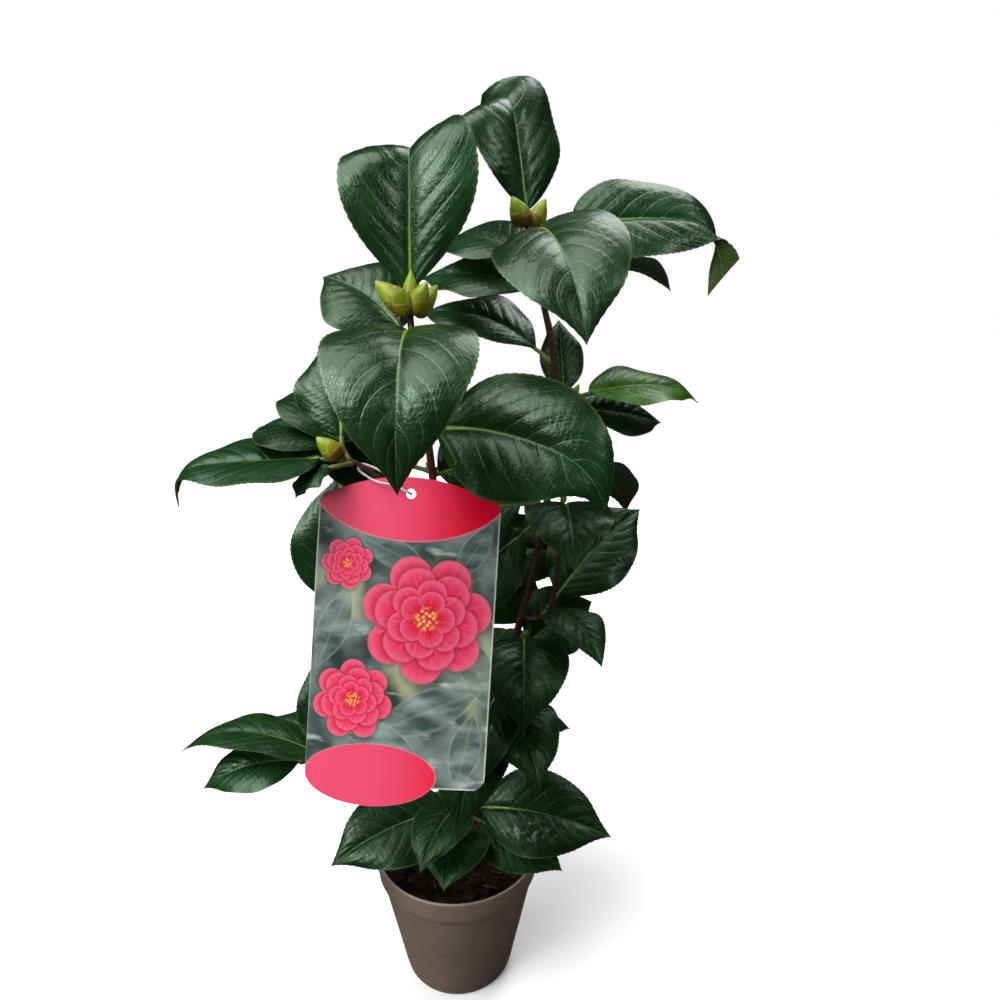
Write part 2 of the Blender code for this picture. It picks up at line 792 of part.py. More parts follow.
def build_mass(name, mass):
    """One mass: its stem with every twig, leaf and bud fused on, as a single closed solid."""
    points, faces = tube(mass["stem"], 6)
    body = new_object(name, points, faces, material("leaf", 0.3))
    parts = []
    for spec in mass["leaves"]:
        parts.append(leaf_body(mass["stem"], spec))
    for twig, spec in mass["twigs"]:
        parts.append(tube(twig, 5))
        parts.append(leaf_body(twig, spec))
    for spec in mass["buds"]:
        point, _, _ = along(mass["stem"], spec["at"])
        root = point + heading(spec["toward"], 0) * spec["step"] * 0.5
        parts.append(bud_body(root, spec["toward"], spec["rise"], spec["long"], spec["radius"]))
    group = bpy.data.collections.new(name + "_parts")
    for k, (points, faces) in enumerate(parts):
        made = new_object(f"{name}_part_{k}", points, faces, material("leaf", 0.3))
        bpy.context.scene.collection.objects.unlink(made)
        group.objects.link(made)
    bpy.context.scene.collection.children.link(group)
    fuse = body.modifiers.new("fuse", "BOOLEAN")
    fuse.operation = "UNION"
    fuse.operand_type = "COLLECTION"
    fuse.collection = group
    fuse.solver = UNION_SOLVER
    view = bpy.context.evaluated_depsgraph_get()
    fused = bpy.data.meshes.new_from_object(body.evaluated_get(view))
    body.modifiers.clear()
    body.data = fused
    fused.name = name
    fill_hollows(fused)
    for made in list(group.objects):
        bpy.data.objects.remove(made)
    bpy.data.collections.remove(group)
    return body


# ---------------------------------------------------------------- label
def label_frame():
    """The label's middle, and its directions across, up and out of its printed face."""
    lean = Matrix.Rotation(math.radians(-LABEL_LEAN), 3, "X")
    out = lean @ Vector((0, -1, 0))
    turn = Matrix.Rotation(math.radians(LABEL_TURN), 3, out)
    return LABEL_MIDDLE, turn @ (lean @ Vector((1, 0, 0))), turn @ (lean @ Vector((0, 0, 1))), out


def label_outline():
    """Outline in the label's plane: an arched top, round corners and a lobe below on the left."""
    half_wide = LABEL_WIDTH / 2
    half_high = LABEL_HEIGHT / 2
    r = LABEL_CORNER
    points = []
    flat = half_wide - r
    for k in range(ARCH_STEPS + 1):
        x = -flat + 2 * flat * k / ARCH_STEPS
        points.append((x, half_high + LABEL_ARCH * (1 - (x / flat) ** 2)))
    for k in range(1, 5):
        a = math.radians(90 - 22.5 * k)
        points.append((flat + r * math.cos(a), half_high - r + r * math.sin(a)))
    for k in range(5):
        a = math.radians(-22.5 * k)
        points.append((flat + r * math.cos(a), -half_high + r + r * math.sin(a)))
    steps = 12
    for k in range(steps + 1):
        a = math.radians(-20 - 160 * k / steps)
        x = LOBE_X + LOBE_WIDTH / 2 * math.cos(a)
        points.append((x, -half_high + LOBE_UP + LOBE_DEPTH * math.sin(a)))
    points.append((-half_wide, half_high - r))
    for k in range(1, 4):
        a = math.radians(180 - 22.5 * k)
        points.append((-flat + r * math.cos(a), half_high - r + r * math.sin(a)))
    return points


def build_label():
    """Thin printed card, with the hole that its loop runs through."""
    middle, across, up, out = label_frame()
    outline = label_outline()
    points = []
    for offset in (-LABEL_THICK / 2, LABEL_THICK / 2):
        points += [middle + across * x + up * y + out * offset for x, y in outline]
    count = len(outline)
    faces = [tuple(range(count)), tuple(reversed(range(count, 2 * count)))]
    for i in range(count):
        j = (i + 1) % count
        faces.append((i, count + i, count + j, j))
    card = new_object("label", points, faces, material("card", 0.35))
    ends = [label_hole() - out * 3 * MM, label_hole() + out * 3 * MM]
    hole = {"spine": ends, "radii": [LABEL_HOLE] * 2, "leave": out}
    points, faces = tube(hole, 16)
    cutter = new_object("label_hole_cutter", points, faces)
    cutter.hide_render = True
    cutter.display_type = "WIRE"
    cut = card.modifiers.new("hole", "BOOLEAN")
    cut.operation = "DIFFERENCE"
    cut.object = cutter
    return card


def label_hole():
    """Middle of the hole near the top edge."""
    middle, across, up, _ = label_frame()
    return middle + across * HOLE_ACROSS + up * HOLE_UP


def build_loop(stem):
    """Closed loop of stiff thread. It lies across the label at its hole and turns to run round the shoot."""
    _, _, _, out = label_frame()
    low = label_hole()
    twig, twig_ahead, _ = along(stem, LOOP_AT)
    rise = (twig - low).normalized()
    length = (twig - low).length + LOOP_PAST
    low_side = (out - rise * out.dot(rise)).normalized()
    high_side = rise.cross(twig_ahead).normalized()
    if high_side.dot(low_side) < 0:
        high_side.negate()
    half = LOOP_WIDTH / 2
    route = []
    for k in range(LOOP_STEPS):
        a = 2 * math.pi * k / LOOP_STEPS
        height = length / 2 * (1 - math.cos(a))
        across = low_side.slerp(high_side, smooth(0.25, 0.75, height / length))
        swell = math.copysign(abs(math.sin(a)) ** 0.6, math.sin(a))
        route.append(low + rise * height + across * half * swell)
    rings = []
    for k, point in enumerate(route):
        ahead = (route[(k + 1) % LOOP_STEPS] - route[k - 1]).normalized()
        side = ahead.cross(rise.cross(low_side)).normalized()
        across = ahead.cross(side)
        ring = []
        for i in range(LOOP_SIDES):
            a = 2 * math.pi * i / LOOP_SIDES
            ring.append(point + (side * math.cos(a) + across * math.sin(a)) * LOOP_RADIUS)
        rings.append(ring)
    points = [p for ring in rings for p in ring]
    faces = []
    for k in range(LOOP_STEPS):
        low_ring = k * LOOP_SIDES
        high_ring = (k + 1) % LOOP_STEPS * LOOP_SIDES
        for i in range(LOOP_SIDES):
            j = (i + 1) % LOOP_SIDES
            faces.append((low_ring + i, low_ring + j, high_ring + j, high_ring + i))
    return new_object("label_loop", points, faces, material("loop", 0.6))


def main():
    for old in list(bpy.data.objects):
        bpy.data.objects.remove(old)
    build_pot()
    build_soil()
    limbs = skeleton()
    for name, stem in limbs.items():
        build_limb(name, stem)
    plan = masses(limbs)
    grow(plan, limbs)
    for name, mass in plan.items():
        build_mass(name, mass)
    build_label()
    build_loop(plan["foliage_left_shoot"]["stem"])


if __name__ == "__main__":
    main()
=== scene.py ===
import math
import random

import bmesh
import bpy
import numpy as np
from mathutils import Matrix, Vector, noise


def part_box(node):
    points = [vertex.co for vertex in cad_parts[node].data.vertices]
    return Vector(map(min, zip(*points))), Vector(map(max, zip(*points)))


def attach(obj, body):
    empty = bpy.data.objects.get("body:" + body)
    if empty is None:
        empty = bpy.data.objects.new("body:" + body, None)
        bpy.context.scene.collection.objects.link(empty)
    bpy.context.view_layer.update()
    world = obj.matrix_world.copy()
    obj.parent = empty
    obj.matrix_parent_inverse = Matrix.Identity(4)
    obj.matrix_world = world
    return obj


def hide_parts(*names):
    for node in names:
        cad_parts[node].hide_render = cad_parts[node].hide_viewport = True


# A young camellia in a round nursery pot, with a picture label that hangs on a thread.
# Metres, +Z up, -Y the front. Numbers in the dictionaries are millimetres and degrees.

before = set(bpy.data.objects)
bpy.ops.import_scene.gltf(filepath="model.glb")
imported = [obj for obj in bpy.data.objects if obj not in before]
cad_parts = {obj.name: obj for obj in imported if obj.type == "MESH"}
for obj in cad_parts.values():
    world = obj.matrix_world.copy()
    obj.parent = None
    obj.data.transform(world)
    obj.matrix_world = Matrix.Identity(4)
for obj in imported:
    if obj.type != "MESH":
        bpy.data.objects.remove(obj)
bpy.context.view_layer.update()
mm = 0.001
gap = 0.3 * mm  # between neighbouring solids of the frame
rimRadius, _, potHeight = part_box("pot")[1]
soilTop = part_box("soil")[1].z


# Small helpers

def heading(toward, rise):
    # unit vector for a compass angle seen from above and a rise above the level
    t = math.radians(toward)
    r = math.radians(rise)
    return Vector((math.cos(r) * math.cos(t), math.cos(r) * math.sin(t), math.sin(r)))


def softStep(low, high, x):
    x = min(1.0, max(0.0, (x - low) / (high - low)))
    return x * x * (3 - 2 * x)


def softSteps(low, high, values):
    # the same for whole arrays
    x = np.clip((values - low) / (high - low), 0, 1)
    return x * x * (3 - 2 * x)


def meshOf(shape, name="part"):
    mesh = bpy.data.meshes.new(name)
    shape.to_mesh(mesh)
    shape.free()
    return mesh


def setTint(mesh, tint):
    # all points of a mesh carry one colour
    tints = mesh.attributes.get("tint") or mesh.attributes.new("tint", "FLOAT_COLOR", "POINT")
    tints.data.foreach_set("color", np.tile(np.array(tint, np.float32), len(mesh.vertices)))


def partMesh(shape, tint=(1, 1, 1, 1)):
    for face in shape.faces:
        face.smooth = True
    mesh = meshOf(shape)
    setTint(mesh, tint)
    return mesh


def layUv(shape, place):
    # gives every corner the UV that belongs to its vertex
    surface = shape.loops.layers.uv.new("surface")
    for face in shape.faces:
        for corner in face.loops:
            corner[surface].uv = place(corner.vert)


def thicken(shape, high):
    # turns a flat face upwards into a closed sheet
    grown = bmesh.ops.extrude_face_region(shape, geom=shape.faces[:])
    top = [v for v in grown["geom"] if isinstance(v, bmesh.types.BMVert)]
    bmesh.ops.translate(shape, verts=top, vec=(0, 0, high))
    bmesh.ops.recalc_face_normals(shape, faces=shape.faces)


def pointsOf(mesh):
    points = np.empty(len(mesh.vertices) * 3)
    mesh.vertices.foreach_get("co", points)
    return points.reshape(-1, 3)


def setPoints(mesh, points):
    mesh.vertices.foreach_set("co", points.astype(np.float32).ravel())


def addObject(name, data):
    made = bpy.data.objects.new(name, data)
    bpy.context.scene.collection.objects.link(made)
    return made


def newPiece(name, parts, finishes, replaced=(), sharpFrom=50):
    # joins meshes into one piece, which rides on the plant's only body
    whole = bmesh.new()
    for part in parts:
        whole.from_mesh(part)
        bpy.data.meshes.remove(part)
    mesh = meshOf(whole, name)
    mesh.set_sharp_from_angle(angle=math.radians(sharpFrom))
    for finish in finishes:
        mesh.materials.append(finish)
    piece = addObject(name, mesh)
    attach(piece, "root")
    if replaced:
        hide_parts(*replaced)
    return piece


# Material helpers

def isSocket(value):
    return isinstance(value, bpy.types.NodeSocket)


def plug(value, socket):
    # links a node's output, or sets a plain value
    if isSocket(value):
        value.id_data.links.new(value, socket)
    elif socket.type == "RGBA":
        socket.default_value = (*value, 1.0)
    else:
        socket.default_value = value


def addNode(kind, values, tree=None, **settings):
    # a node in the given tree, or in that of the first output among its values
    tree = tree or next(v for v in values.values() if isSocket(v)).id_data
    node = tree.nodes.new(kind)
    for key, value in settings.items():
        setattr(node, key, value)
    for key, value in values.items():
        plug(value, node.inputs[key])
    return node


def maths(operation):
    # a function that adds one arithmetic node
    def added(*values):
        return addNode("ShaderNodeMath", dict(enumerate(values)), operation=operation).outputs[0]
    return added


plus = maths("ADD")
minus = maths("SUBTRACT")
times = maths("MULTIPLY")
timesPlus = maths("MULTIPLY_ADD")
over = maths("DIVIDE")
power = maths("POWER")
absolute = maths("ABSOLUTE")
larger = maths("MAXIMUM")


def ease(value, low, high, start=0.0, end=1.0):
    # soft step from start to end while the value goes from low to high
    values = {"Value": value, "From Min": low, "From Max": high, "To Min": start, "To Max": end}
    return addNode("ShaderNodeMapRange", values, interpolation_type="SMOOTHSTEP").outputs["Result"]


def blend(amount, first, second, kind="MIX"):
    # a mix node has its colours at the inputs 6 and 7 and at the output 2
    values = {0: amount, 6: first, 7: second}
    return addNode("ShaderNodeMix", values, data_type="RGBA", blend_type=kind).outputs[2]


def noiseOf(place, scale, detail=3.0, roughness=0.5):
    values = {"Vector": place, "Scale": scale, "Detail": detail, "Roughness": roughness}
    return addNode("ShaderNodeTexNoise", values).outputs["Fac"]


def cellsOf(place, scale=1.0, feature="F1"):
    values = {"Vector": place, "Scale": scale}
    node = addNode("ShaderNodeTexVoronoi", values, voronoi_dimensions="2D", feature=feature)
    return node.outputs["Distance"]


def scaled(place, *factors):
    return addNode("ShaderNodeMapping", {"Vector": place, "Scale": factors}).outputs["Vector"]


def seenFrom(place, x, y, turn=0.0, wide=1.0, deep=1.0):
    # the surface seen from a motif's own middle, in its direction and size
    values = {"Vector": place, "Location": (x, y, 0), "Rotation": (0, 0, math.radians(turn))}
    values["Scale"] = (wide, deep, 1)
    return addNode("ShaderNodeMapping", values, vector_type="TEXTURE").outputs["Vector"]


def lengthOf(vector):
    return addNode("ShaderNodeVectorMath", {0: vector}, operation="LENGTH").outputs["Value"]


def apart(vector):
    return addNode("ShaderNodeSeparateXYZ", {"Vector": vector}).outputs


def together(x, y):
    return addNode("ShaderNodeCombineXYZ", {"X": x, "Y": y}).outputs["Vector"]


def objectPlace(tree):
    return addNode("ShaderNodeTexCoord", {}, tree).outputs["Object"]


def surfacePlace(tree):
    return addNode("ShaderNodeUVMap", {}, tree, uv_map="surface").outputs["UV"]


def ownTint(tree):
    return addNode("ShaderNodeAttribute", {}, tree, attribute_name="tint").outputs


def openGroup(name, **inputs):
    # a node group and its inputs; None stands for a vector
    group = bpy.data.node_groups.new(name, "ShaderNodeTree")
    for key, value in inputs.items():
        kind = "NodeSocketVector" if value is None else "NodeSocketFloat"
        socket = group.interface.new_socket(key, in_out="INPUT", socket_type=kind)
        if value is not None:
            socket.default_value = value
    given = group.nodes.new("NodeGroupInput").outputs
    return group, *[given[key] for key in inputs]


def closeGroup(group, **outputs):
    for key in outputs:
        group.interface.new_socket(key, in_out="OUTPUT", socket_type="NodeSocketFloat")
    put = group.nodes.new("NodeGroupOutput").inputs
    for key, value in outputs.items():
        plug(value, put[key])
    return group


def useGroup(group, *values):
    return addNode("ShaderNodeGroup", dict(enumerate(values)), node_tree=group).outputs


def principled(made):
    return made.node_tree.nodes["Principled BSDF"].inputs


def newMaterial(name, **settings):
    # a material whose Principled shader has these plain settings, such as Coat_Weight=0.3
    made = bpy.data.materials.new(name)
    made.use_nodes = True
    for key, value in settings.items():
        plug(value, principled(made)[key.replace("_", " ")])
    return made, made.node_tree


def finished(made, colour, rough, height, strength, depth):
    # the end of each material: its colour, its roughness and a bump of some depth
    bump = addNode("ShaderNodeBump", {"Height": height, "Strength": strength, "Distance": depth * mm})
    ends = {"Base Color": colour, "Roughness": rough, "Normal": bump.outputs["Normal"]}
    for key, value in ends.items():
        plug(value, principled(made)[key])
    return made


# Shared effects

def makeMottle():
    # broad and fine variation of colour, and the relief that goes with it
    group, place, broadScale, fineScale = openGroup("mottle", place=None, broadScale=40.0, fineScale=400.0)
    broad = noiseOf(place, broadScale, 3.0, 0.55)
    fine = noiseOf(place, fineScale, 4.0, 0.6)
    relief = plus(times(broad, 0.5), fine)
    return closeGroup(group, broad=ease(broad, 0.3, 0.7), fine=ease(fine, 0.3, 0.7), relief=relief)


veining = {
    "pairs": 8.5,  # lateral veins on each side
    "lean": 0.24,  # how far along the blade they run by the margin
    "curl": 0.12,
    "width": 0.055,  # share of the space between two
    "cells": (34.0, 46.0, 1.0),  # of the net, across and along
    "wrinkles": (2.6, 26.0),
}


def makeVeins():
    # lays a leaf's midrib, lateral veins and the net between them on its own across and along
    group, surface = openGroup("bladeVeins", surface=None)
    x, along, _ = apart(surface)
    across = timesPlus(x, 2.0, -1.0)
    outward = absolute(across)
    side = times(maths("GREATER_THAN")(across, 0.0), 0.5)
    start = minus(along, times(outward, veining["lean"]))
    start = minus(start, times(power(outward, 3.0), veining["curl"]))
    phase = maths("FRACT")(timesPlus(start, veining["pairs"], side))
    away = minus(0.5, absolute(minus(phase, 0.5)))
    fade = times(ease(outward, 0.6, 0.92, 1.0, 0.0), ease(along, 0.86, 0.97, 1.0, 0.0))
    swell = larger(maths("SINE")(times(along, math.pi)), 0.2)
    rib = over(timesPlus(along, -0.017, 0.024), swell)
    net = cellsOf(scaled(surface, *veining["cells"]), feature="DISTANCE_TO_EDGE")
    finer, longer = veining["wrinkles"]
    return closeGroup(
        group,
        midrib=ease(over(outward, rib), 0.45, 1.0, 1.0, 0.0),
        lateral=times(ease(away, 0.0, veining["width"], 1.0, 0.0), fade),
        net=ease(net, 0.0, 0.14, 1.0, 0.0),
        wrinkle=noiseOf(together(times(start, longer), times(across, finer)), 1.0, 3.0, 0.55),
        along=along,
        margin=ease(outward, 0.955, 0.985),
    )


mottle = makeMottle()
bladeVeins = makeVeins()


# Materials of the plant

leafFinish = {
    "shine": (0.66, 1.0, 0.72),
    "shade": (0.66, 0.70, 0.75),
    "light": (1.35, 1.30, 1.25),
    "rib": (0.21, 0.36, 0.045),
    "ribFar": (0.045, 0.120, 0.035),
    "vein": (0.050, 0.120, 0.050),
    "rim": (0.055, 0.100, 0.030),
    "residue": (0.30, 0.36, 0.35),
    "residueAt": (0.74, 0.42, 0, 0.16, 0.24),  # across, along, turn, width and depth on the blade
    "under": (0.055, 0.110, 0.022),
    "underVein": (0.110, 0.180, 0.045),
    "stalkDark": (0.085, 0.130, 0.030),
    "stalk": (0.190, 0.240, 0.060),
    "stalkFoot": (0.11, 0.040, 0.022),
}


def makeLeafTop():
    glaze = {"Coat_Weight": 0.08, "Coat_Roughness": 0.13, "Specular_IOR_Level": 0.60}
    made, tree = newMaterial("leafTop", Specular_Tint=leafFinish["shine"], **glaze)
    place = objectPlace(tree)
    surface = surfacePlace(tree)
    veins = useGroup(bladeVeins, surface)
    spots = useGroup(mottle, place, 70.0, 420.0)
    tint = ownTint(tree)
    dark = blend(1.0, tint["Color"], leafFinish["shade"], "MULTIPLY")
    light = blend(1.0, tint["Color"], leafFinish["light"], "MULTIPLY")
    colour = blend(spots["broad"], dark, light)
    rib = blend(ease(veins["along"], 0.0, 0.6), leafFinish["rib"], leafFinish["ribFar"])
    vein = leafFinish["vein"]
    for key, share, line in (("net", 0.10, vein), ("lateral", 0.5, vein), ("midrib", 0.9, rib)):
        colour = blend(times(veins[key], share), colour, line)
    colour = blend(times(veins["margin"], 0.5), colour, leafFinish["rim"])
    # dried drops
    away = lengthOf(seenFrom(surface, *leafFinish["residueAt"]))
    spill = times(ease(away, 0.3, 1.2, 1.0, 0.0), tint["Alpha"])
    residue = times(ease(noiseOf(place, 330.0, 5.0, 0.75), 0.50, 0.70), spill)
    colour = blend(residue, colour, leafFinish["residue"])
    rough = timesPlus(veins["wrinkle"], 0.10, timesPlus(spots["broad"], 0.05, 0.19))
    height = timesPlus(veins["lateral"], -0.8, times(spots["relief"], 0.45))
    height = timesPlus(veins["wrinkle"], 1.6, timesPlus(veins["net"], -0.22, height))
    return finished(made, colour, timesPlus(residue, 0.4, rough), height, 0.30, 0.5)


def makeLeafUnder():
    made, tree = newMaterial("leafUnder", Coat_Weight=0.05, Coat_Roughness=0.35)
    veins = useGroup(bladeVeins, surfacePlace(tree))
    spots = useGroup(mottle, objectPlace(tree), 60.0, 700.0)
    under = Vector(leafFinish["under"])
    colour = blend(spots["broad"], 0.75 * under, 1.2 * under)
    pale = larger(times(veins["lateral"], 0.6), veins["midrib"])
    colour = blend(pale, colour, leafFinish["underVein"])
    height = timesPlus(veins["net"], 0.4, timesPlus(veins["lateral"], 0.9, spots["fine"]))
    return finished(made, colour, timesPlus(spots["fine"], 0.12, 0.42), height, 0.25, 0.4)


def makeStalk():
    # petioles and the midribs under the blades, with UV y in centimetres from the stem
    made, tree = newMaterial("leafStalk", Coat_Weight=0.1, Coat_Roughness=0.3)
    spots = useGroup(mottle, objectPlace(tree), 150.0, 900.0)
    foot = ease(apart(surfacePlace(tree))["Y"], 0.0, 0.55, 0.75, 0.0)
    colour = blend(spots["broad"], leafFinish["stalkDark"], leafFinish["stalk"])
    colour = blend(foot, colour, leafFinish["stalkFoot"])
    return finished(made, colour, timesPlus(spots["fine"], 0.15, 0.38), spots["relief"], 0.2, 0.2)


barkFinish = {
    "young": (0.082, 0.028, 0.016),
    "youngDark": (0.034, 0.014, 0.009),
    "old": (0.105, 0.072, 0.050),
    "pore": (0.21, 0.14, 0.09),
    "grain": (0.035, 0.016, 0.010),
    "oldFrom": 70,  # height where the trunk is oldest, and where it is young again
    "oldTo": 150,
}


def makeBark():
    made, tree = newMaterial("bark")
    place = objectPlace(tree)
    surface = surfacePlace(tree)
    spots = useGroup(mottle, place, 130.0, 900.0)
    streaks = noiseOf(scaled(surface, 22.0, 3.0, 1.0), 1.0, 4.0, 0.6)
    colour = blend(ease(streaks, 0.35, 0.65), barkFinish["youngDark"], barkFinish["young"])
    age = ease(apart(place)["Z"], barkFinish["oldFrom"] * mm, barkFinish["oldTo"] * mm, 1.0, 0.0)
    age = times(age, ease(streaks, 0.30, 0.62, 0.35, 1.0))
    colour = blend(age, colour, barkFinish["old"])
    pore = ease(cellsOf(scaled(surface, 5.0, 7.0, 1.0)), 0.10, 0.20, 1.0, 0.0)
    colour = blend(times(pore, 0.5), colour, barkFinish["pore"])
    colour = blend(times(spots["fine"], 0.35), colour, barkFinish["grain"])
    relief = timesPlus(streaks, 0.8, timesPlus(pore, 0.5, spots["relief"]))
    return finished(made, colour, timesPlus(spots["broad"], 0.2, 0.45), relief, 0.5, 0.3)


budFinish = {
    "shade": (0.72, 0.78, 0.75),
    "rim": (0.55, 0.52, 0.22),
    "foot": (0.10, 0.16, 0.02),
}


def makeBudScale():
    # UV y runs up each scale
    made, tree = newMaterial("budScale", Coat_Weight=0.08, Coat_Roughness=0.25, Specular_IOR_Level=0.4)
    x, y, _ = apart(surfacePlace(tree))
    spots = useGroup(mottle, objectPlace(tree), 260.0, 1400.0)
    tint = ownTint(tree)["Color"]
    colour = blend(spots["broad"], blend(1.0, tint, budFinish["shade"], "MULTIPLY"), tint)
    rim = larger(ease(y, 0.80, 1.0), ease(absolute(timesPlus(x, 2.0, -1.0)), 0.80, 1.0))
    colour = blend(times(rim, 0.30), colour, budFinish["rim"])
    colour = blend(ease(y, 0.0, 0.45, 0.5, 0.0), colour, budFinish["foot"])
    return finished(made, colour, timesPlus(spots["fine"], 0.12, 0.36), spots["relief"], 0.25, 0.2)


leafTop = makeLeafTop()
leafUnder = makeLeafUnder()
leafStalk = makeStalk()
bark = makeBark()
budScale = makeBudScale()
print("materials of the plant ready")


# The rule by which the plant grows, the same as the frame's

wood = {
    "foot": 4.6 * mm,
    "trunk": 2.7 * mm,
    "bough": 2.0 * mm,
    "shoot": 1.7 * mm,
    "shootTip": 1.3 * mm,
    "twig": 1.2 * mm,
}
leafShape = {
    "slenderness": 0.56,  # width over length
    "steps": 24,  # along the midrib
    "hookSpan": 0.38,
    "crown": 0.22,  # how far each half rounds over, as a share of its width
    "tip": 0.45 * mm,
    "tipTaper": 1.1,
}
leafUsual = {
    "roll": 0,  # tilt of the blade about its midrib
    "twist": 0,  # what its tip tilts further
    "fold": 14,  # how far each half is raised
    "hook": 0,  # what is added to the droop from bend onwards, skewed across
    "bend": 0.62,
    "skew": 0,
    "sway": 0,
    "taper": 0.78,
    "young": 0,
    "residue": 0,
}
ruleTwigs = {
    "twig": (12 * mm, 22 * mm),
    "leaf": (56, 78),
    "golden": 0.618,
    "across": (-1.0, -0.5, 0.0, 0.5, 1.0),
    "along": (0.08, 0.22, 0.36, 0.50, 0.64, 0.78, 0.90, 1.0),
    "twigFrom": 18,
    "clear": 6.5 * mm,
    "tries": 4,  # for each leaf that may be added
    "overPot": 8 * mm,
    "swing": 12,  # off the direction the golden angle gives
}


def limb(start, leave, end, arrive, radii, steps=10, flare=None):
    # a tapering limb on one smooth curve; leave and arrive are (toward, rise) at its two ends
    reach = (end - start).length
    made = {
        "ends": (start, heading(*leave) * reach, end, heading(*arrive) * reach),
        "sizes": (radii[0], radii[1], flare or radii[0]),
    }
    made["spine"], made["radii"] = limbRings(made, steps)
    return made


def limbRings(stem, steps):
    start, leave, end, arrive = stem["ends"]
    first, last, flare = stem["sizes"]
    spine = []
    radii = []
    for k in range(steps + 1):
        t = k / steps
        point = start * (2 * t**3 - 3 * t**2 + 1) + leave * (t**3 - 2 * t**2 + t)
        spine.append(point + end * (3 * t**2 - 2 * t**3) + arrive * (t**3 - t**2))
        radii.append(first + (last - first) * t + (flare - first) * (1 - softStep(0, 0.16, t)))
    return spine, radii


def along(stem, at):
    # point, direction and radius of a limb at a share of its length
    spine = stem["spine"]
    place = min(0.9999, max(0.0, at)) * (len(spine) - 1)
    k = int(place)
    f = place - k
    radius = stem["radii"][k] * (1 - f) + stem["radii"][k + 1] * f
    return spine[k].lerp(spine[k + 1], f), (spine[k + 1] - spine[k]).normalized(), radius


def sideShoot(parent, at, toward, end, arrive, radii=(wood["twig"], wood["twig"] * 0.8), steps=6):
    # a shoot that starts level, just clear of its parent limb, and bends to its end
    point, ahead, radius = along(parent, at)
    out = heading(toward, 0)
    out = (out - ahead * out.dot(ahead)).normalized()
    rise = math.degrees(math.asin(out.z))
    return limb(point + out * (radius + gap), (toward, rise), end, arrive, radii, steps)


def onward(parent, end, arrive, radii=(wood["shoot"], wood["shootTip"]), steps=8):
    # a stem that carries on from a limb's tip, just clear of it
    tip = parent["spine"][-1]
    ahead = (tip - parent["spine"][-2]).normalized()
    return limb(tip + ahead * gap, angles(ahead), end, arrive, radii, steps)


def angles(ahead):
    return math.degrees(math.atan2(ahead.y, ahead.x)), math.degrees(math.asin(ahead.z))


def leaf(at, toward, rise, droop, long, wide=0, petiole=9, **more):
    # droop turns the midrib down from base to tip
    own = {"at": at, "toward": toward, "rise": rise, "droop": droop, "long": long * mm}
    own["wide"] = (wide or long * leafShape["slenderness"]) * mm
    own["petiole"] = petiole * mm
    return {**leafUsual, **own, **more}


def bladeOutline(t, taper):
    # half width as a share of its greatest, at a share of the length
    sharp = leafShape["tipTaper"]
    widest = taper / (taper + sharp)
    peak = widest**taper * (1 - widest) ** sharp
    shape = max(t, 1e-6) ** taper * max(1 - t, 0) ** sharp / peak
    return shape * (1 - 0.35 * softStep(0.75, 1.0, t))


def midribHeading(spec, t, q=0.0):
    # where the blade runs at a share of its length, at q from -1 (left) to 1 (right)
    bend = spec["bend"] + spec["skew"] * q
    curl = spec["hook"] * softStep(bend, bend + leafShape["hookSpan"], t)
    return heading(spec["toward"] + spec["sway"] * t, spec["rise"] - spec["droop"] * t - curl)


def leafFrames(stem, spec, stations, q=0.0):
    # (share, point, side, up) along the petiole and blade; the share is below 0 on the petiole
    start, _, _ = along(stem, spec["at"])
    out = heading(spec["toward"], spec["rise"])
    frames = [(share, start + out * spec["petiole"] * (1 + share), out) for share in (-1.0, -0.35)]
    place = start + out * spec["petiole"]
    done = 0.0
    for t in stations:
        count = max(1, round((t - done) * leafShape["steps"]))
        for k in range(count):
            middle = done + (t - done) * (k + 0.5) / count
            place = place + midribHeading(spec, middle, q) * (spec["long"] * (t - done) / count)
        done = t
        frames.append((t, place, midribHeading(spec, t, q)))
    turned = []
    for share, place, ahead in frames:
        t = max(share, 0.0)
        across = math.radians(spec["toward"] + spec["sway"] * t)
        side = Vector((math.sin(across), -math.cos(across), 0))
        tilt = Matrix.Rotation(math.radians(spec["roll"] + spec["twist"] * t), 3, ahead)
        turned.append((share, place, tilt @ side, tilt @ side.cross(ahead)))
    return turned


def bladePoint(spec, station, q, least=leafShape["tip"]):
    # each half of the blade stands up from the midrib and rounds over
    share, place, side, up = station
    half = max(spec["wide"] / 2 * bladeOutline(share, spec["taper"]), least)
    lift = math.radians(spec["fold"])
    height = abs(q) * math.sin(lift) - leafShape["crown"] * q * q
    return place + side * (q * half * math.cos(lift)) + up * (half * height)


def bud(at, toward, rise, long=12, wide=6, step=0):
    own = {"at": at, "toward": toward, "rise": rise}
    return {**own, "long": long * mm, "radius": wide / 2 * mm, "step": step * mm}


def spot(x, y, z):
    return Vector((x, y, z)) * mm


def skeleton():
    # trunk and boughs by name; each bough starts just clear of the limb that bears it
    fork = spot(12, -2, 134)
    thick, bough, shoot, twig = (wood[key] for key in ("trunk", "bough", "shoot", "twig"))
    trunk = limb(Vector((0, 0, soilTop + gap)), (0, 90), fork, (-20, 72), (thick, bough), 12, wood["foot"])
    start = fork + heading(-20, 72) * gap
    return {
        "trunk": trunk,
        "bough_right": limb(start, (-20, 72), spot(50, 0, 320), (100, 88), (bough, shoot), 14),
        "bough_left": sideShoot(trunk, 0.93, 220, spot(-5, -40, 289), (-110, 74), (shoot, shoot), 14),
        "bough_low": sideShoot(trunk, 0.60, 165, spot(-50, -25, 137), (195, 22), (shoot, twig), 8),
    }


